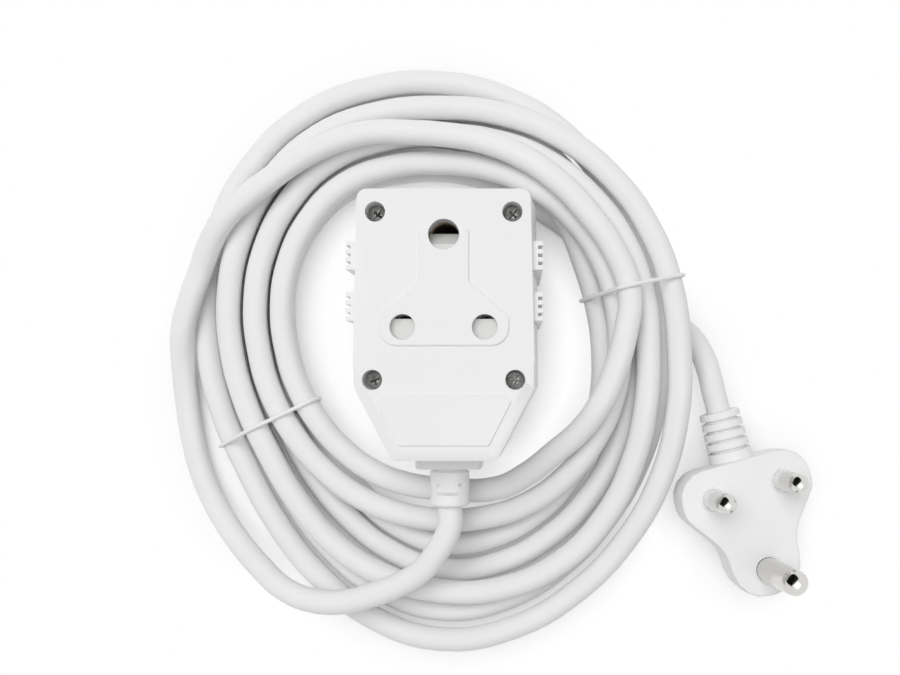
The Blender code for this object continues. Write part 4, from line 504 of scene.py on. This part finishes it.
sheath = moulded(
    "cord_sheath",
    (0.87, 0.87, 0.87),
    clouding=0.04,
    cloud_scale=45.0,
    grain_scale=900.0,
    grain_depth=0.05 * MM,
    smoothest=0.40,
    spread=0.12,
)
cord.data.materials.append(sheath)
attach(cord, "lead")
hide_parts("cord_coil", "cord_to_coupler", "cord_to_plug", "cord_end_in_coupler", "cord_end_in_plug")

# ================================================================ the coupler's housing
# Two halves moulded in glossy white plastic, each with a raised panel round its sockets, a bare
# panel below them, and ribbed grips on its sides. Their edges are slightly rounded by the mould.

WELD_REACH = 0.002 * MM
FLAT_ANGLE = math.radians(0.5)
FACE_WEIGHT = 100


def finish_node(name, material, edge=0.0, crease=35.0, segments=2):
    """Gives a CAD node its material, smooth curved walls, and rounded edges if an edge is given."""
    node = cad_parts[name]
    node.data.materials.clear()
    node.data.materials.append(material)
    for face in node.data.polygons:
        face.material_index = 0
        face.use_smooth = True
    weld = node.modifiers.new("weld", "WELD")
    weld.merge_threshold = WELD_REACH
    flat = node.modifiers.new("flat", "DECIMATE")
    flat.decimate_type = "DISSOLVE"
    flat.angle_limit = FLAT_ANGLE
    if edge:
        rounding = node.modifiers.new("rounding", "BEVEL")
        rounding.width = edge
        rounding.segments = segments
        rounding.limit_method = "ANGLE"
        rounding.angle_limit = math.radians(crease)
        rounding.use_clamp_overlap = True
        even = node.modifiers.new("even", "WEIGHTED_NORMAL")
        even.weight = FACE_WEIGHT
        even.keep_sharp = True
    else:
        creases = node.modifiers.new("creases", "EDGE_SPLIT")
        creases.split_angle = math.radians(crease)
        creases.use_edge_sharp = False


housing = moulded(
    "housing_plastic",
    (0.88, 0.88, 0.88),
    clouding=0.025,
    cloud_scale=30.0,
    grain_scale=1600.0,
    grain_depth=0.02 * MM,
    smoothest=0.34,
    spread=0.10,
)
for name in ("front_shell", "rear_shell"):
    finish_node(name, housing, edge=0.25 * MM)

# ================================================================ shutters and their carriers
# Off-white inserts inside the housing: the sliders whose blades close the holes, the decks that
# guide them, the clamp bar over the sheath, and the bridge that holds the plug's pins.

insert = moulded(
    "insert_plastic",
    (0.74, 0.74, 0.73),
    clouding=0.05,
    cloud_scale=50.0,
    grain_scale=1500.0,
    grain_depth=0.03 * MM,
    smoothest=0.45,
    spread=0.1,
)
for name in ("front_shutter", "rear_shutter"):
    finish_node(name, insert, edge=0.15 * MM)
for name in (
    "front_contact_carrier",
    "rear_contact_carrier",
    "plug_pin_bridge",
    "cord_clamp_bar",
):
    finish_node(name, insert)

# ================================================================ shutter springs
# A steel compression spring behind each shutter, from the blades down to the stop on the deck. It
# is wound from round wire, and shortens as the shutter comes down on it.

SPRING_RADIUS = 1.5 * MM
SPRING_WIRE_RADIUS = 0.25 * MM
SPRING_CURLS = 7
CURL_POINTS = 16
WIRE_STEPS, WIRE_ROUNDNESS = 1, 2


def metal(name, colour, tarnish, tarnish_scale, smoothest, spread):
    """A bare metal: the shared surface, with its clouding as tarnish and next to no grain."""
    made = moulded(
        name,
        colour,
        clouding=tarnish,
        cloud_scale=tarnish_scale,
        grain_scale=2500.0,
        grain_depth=0.004 * MM,
        smoothest=smoothest,
        spread=spread,
    )
    made.node_tree.nodes["Principled BSDF"].inputs["Metallic"].default_value = 1.0
    return made


spring_steel = metal(
    "spring_steel",
    (0.60, 0.60, 0.59),
    tarnish=0.25,
    tarnish_scale=400.0,
    smoothest=0.26,
    spread=0.12,
)
for word in ("front", "rear"):
    cad_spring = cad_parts[f"{word}_shutter_spring"]
    corners = [cad_spring.matrix_world @ Vector(corner) for corner in cad_spring.bound_box]
    high, low = (pick(corner.y for corner in corners) for pick in (max, min))
    level = sum(corner.z for corner in corners) / len(corners)
    steps = CURL_POINTS * SPRING_CURLS
    wire = []
    for step in range(steps + 1):
        angle = 2 * math.pi * step / CURL_POINTS
        x, z = SPRING_RADIUS * math.cos(angle), level + SPRING_RADIUS * math.sin(angle)
        run = SPRING_WIRE_RADIUS + (high - low - 2 * SPRING_WIRE_RADIUS) * step / steps
        wire.append(Vector((x, high - run, z)))
    wound_name = f"{word}_spring_wire"
    wound = along_curve(wound_name, wire, SPRING_WIRE_RADIUS, WIRE_STEPS, WIRE_ROUNDNESS)
    bpy.context.view_layer.update()
    finished = wound.evaluated_get(bpy.context.evaluated_depsgraph_get())
    spring = placed(f"{word}_spring", bpy.data.meshes.new_from_object(finished))
    bpy.data.objects.remove(wound)
    spring.data.materials.clear()
    spring.data.materials.append(spring_steel)
    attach(spring, "lead")
    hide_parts(f"{word}_shutter_spring")
    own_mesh(spring)

# ================================================================ screws
# Cross-headed steel screws deep in the housing's wells, and the small ones of the terminals and the
# clamp bar. Their steel is dull and tarnished.

steel = metal(
    "screw_steel",
    (0.62, 0.62, 0.60),
    tarnish=0.55,
    tarnish_scale=300.0,
    smoothest=0.18,
    spread=0.14,
)
for number in range(1, 5):
    finish_node(f"housing_screw_{number}", steel, edge=0.12 * MM, crease=30.0)
for name in (
    "live_terminal_screw",
    "neutral_terminal_screw",
    "earth_terminal_screw",
    "cord_clamp_screw_1",
    "cord_clamp_screw_2",
):
    finish_node(name, steel)

# ================================================================ contacts and cores
# Pressed tubes and straps, of tarnished brass for earth and nickel-plated for live and neutral, and
# the insulated cores between them and the sheath: brown for live, blue for neutral, green for earth.
# The brass colour is also darkened as painted shade, for the dark deep in the earth hole.

CORE_COLOURS = {
    "live": (0.20, 0.085, 0.04),
    "neutral": (0.04, 0.13, 0.42),
    "earth": (0.17, 0.44, 0.10),
}

# Painted shade: this brass is darker than clean brass, to stand for the shade deep in the earth hole.
# The clouding on it is tarnish.
brass = metal(
    "contact_brass",
    (0.30, 0.21, 0.10),
    tarnish=0.6,
    tarnish_scale=180.0,
    smoothest=0.42,
    spread=0.2,
)
plated = metal(
    "contact_plating",
    (0.80, 0.79, 0.76),
    tarnish=0.2,
    tarnish_scale=180.0,
    smoothest=0.55,
    spread=0.2,
)
finish_node("earth_contact", brass)
for name in ("live_contact", "neutral_contact"):
    finish_node(name, plated)
for word, colour in CORE_COLOURS.items():
    core_skin = moulded(
        f"core_{word}",
        colour,
        clouding=0.08,
        cloud_scale=150.0,
        grain_scale=1500.0,
        grain_depth=0.02 * MM,
        smoothest=0.42,
        spread=0.1,
    )
    for end in ("coupler", "plug"):
        finish_node(f"{end}_{word}_core", core_skin)

# ================================================================ the coupler's boot
# Softer white vinyl: a flange against the housing, and a slotted sleeve that bends with the cord.
# Its edges are rounder than the housing's.

vinyl = moulded(
    "vinyl_moulding",
    (0.90, 0.90, 0.90),
    clouding=0.03,
    cloud_scale=40.0,
    grain_scale=1200.0,
    grain_depth=0.04 * MM,
    smoothest=0.40,
    spread=0.12,
)
finish_node("cord_boot", vinyl, edge=0.45 * MM, segments=3)

# ================================================================ ties
# Two thin white ties, pulled tight round every strand that crosses them, so each runs straight from
# strand to strand and bends round the outer ones.

TIE_REACH = 26.0 * MM
TIE_BEND_STEP = math.radians(8)
TIE_OFF_TABLE = 0.02 * MM
TIE_ROUNDNESS = 4


def crossings(line, place, way):
    """Where a line crosses a tie's upright plane near the tie: distances along it, and heights."""
    along = Vector((math.cos(way), math.sin(way), 0))
    across = Vector((-along.y, along.x, 0))
    middle = Vector((*place, 0))
    found = []
    for here, ahead in zip(line, line[1:]):
        a, b = ((end - middle).dot(across) for end in (here, ahead))
        if a * b < 0:
            point = here.lerp(ahead, a / (a - b)) - middle
            if abs(point.dot(along)) < TIE_REACH:
                wider = CORD_RADIUS * (1 / abs((ahead - here).normalized().dot(across)) - 1)
                found += [(point.dot(along) - wider, point.z), (point.dot(along) + wider, point.z)]
    return found


def taut_loop(centres, radius):
    """A loop pulled tight round circles of one radius: the hull of their centres, moved out."""
    points = sorted(centres)
    hull = []
    for run in (points, points[::-1]):
        chain = []
        for point in run:
            while len(chain) > 1:
                (ax, ay), (bx, by) = chain[-2:]
                if (bx - ax) * (point[1] - ay) - (by - ay) * (point[0] - ax) > 0:
                    break
                chain.pop()
            chain.append(point)
        hull += chain[:-1]
    loop = []
    for index, (x, y) in enumerate(hull):
        before, after = hull[index - 1], hull[(index + 1) % len(hull)]
        first = math.atan2(y - before[1], x - before[0]) - math.pi / 2
        last = math.atan2(after[1] - y, after[0] - x) - math.pi / 2
        turn = (last - first) % (2 * math.pi)
        parts = max(1, round(turn / TIE_BEND_STEP))
        for part in range(parts + 1):
            angle = first + turn * part / parts
            loop.append((x + radius * math.cos(angle), y + radius * math.sin(angle)))
    return loop


tie_skin = moulded(
    "tie_plastic",
    (0.88, 0.88, 0.88),
    clouding=0.02,
    cloud_scale=60.0,
    grain_scale=1800.0,
    grain_depth=0.02 * MM,
    smoothest=0.36,
    spread=0.1,
)
for name, (place, way) in TIES.items():
    strands = crossings(cord_line, place, way)
    loop = taut_loop(strands, CORD_RADIUS + TIE_RADIUS + TIE_CLEARANCE)
    ring = bpy.data.curves.new(f"{name}_band", "CURVE")
    ring.dimensions = "3D"
    ring.bevel_depth = TIE_RADIUS
    ring.bevel_resolution = TIE_ROUNDNESS
    spline = ring.splines.new("POLY")
    spline.points.add(len(loop) - 1)
    spline.use_cyclic_u = True
    for target, (run, height) in zip(spline.points, loop):
        x, y = place[0] + run * math.cos(way), place[1] + run * math.sin(way)
        target.co = (x, y, max(height, TIE_RADIUS + TIE_OFF_TABLE), 1.0)
    band = placed(f"{name}_band", ring)
    band.data.materials.append(tie_skin)
    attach(band, "lead")
    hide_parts(name)

# ================================================================ the plug
# One moulding of the same white vinyl with a ribbed boot. Three nickel-plated pins with domed tips
# are set in it, the live and neutral ones with a white sleeve at the foot, and it closes round each
# in a low collar.

# In millimetres: each pin's place on the plug's face and its radius, and then the collar's section,
# out from the pin and up from the face.
PIN_FEET = {
    "live": (-12.7, 0.0, 3.53),
    "neutral": (12.7, 0.0, 3.53),
    "earth": (0.0, -28.6, 4.35),
}
COLLAR_PROFILE = ((0.75, -0.05), (0.55, 0.12), (0.25, 0.18), (0.02, 0.12), (0.02, -0.4))
COLLAR_STEPS = 48

nickel = metal(
    "pin_nickel",
    (0.70, 0.69, 0.67),
    tarnish=0.10,
    tarnish_scale=90.0,
    smoothest=0.10,
    spread=0.08,
)
finish_node("plug_body", vinyl, edge=0.3 * MM, crease=40.0)
for name in ("live_pin", "neutral_pin", "earth_pin"):
    finish_node(name, nickel, crease=50.0)
for name in ("live_pin_sleeve", "neutral_pin_sleeve"):
    finish_node(name, vinyl)
for word, (x, y, radius) in PIN_FEET.items():
    collar_shape = bmesh.new()
    ring = [
        collar_shape.verts.new(((radius + out) * MM, 0.0, up * MM)) for out, up in COLLAR_PROFILE
    ]
    edges = [collar_shape.edges.new((a, b)) for a, b in zip(ring, ring[1:] + ring[:1])]
    bmesh.ops.spin(
        collar_shape,
        geom=ring + edges,
        cent=(0, 0, 0),
        axis=(0, 0, 1),
        angle=2 * math.pi,
        steps=COLLAR_STEPS,
        use_merge=True,
        use_duplicate=False,
    )
    bmesh.ops.recalc_face_normals(collar_shape, faces=collar_shape.faces)
    foot = PLUG_PLACE @ Matrix.Translation((x * MM, y * MM, PLUG_THICKNESS))
    bmesh.ops.transform(collar_shape, matrix=foot, verts=collar_shape.verts)
    for face in collar_shape.faces:
        face.smooth = True
    collar = meshed(f"{word}_pin_collar", collar_shape)
    collar.data.materials.append(vinyl)
    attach(collar, "lead")
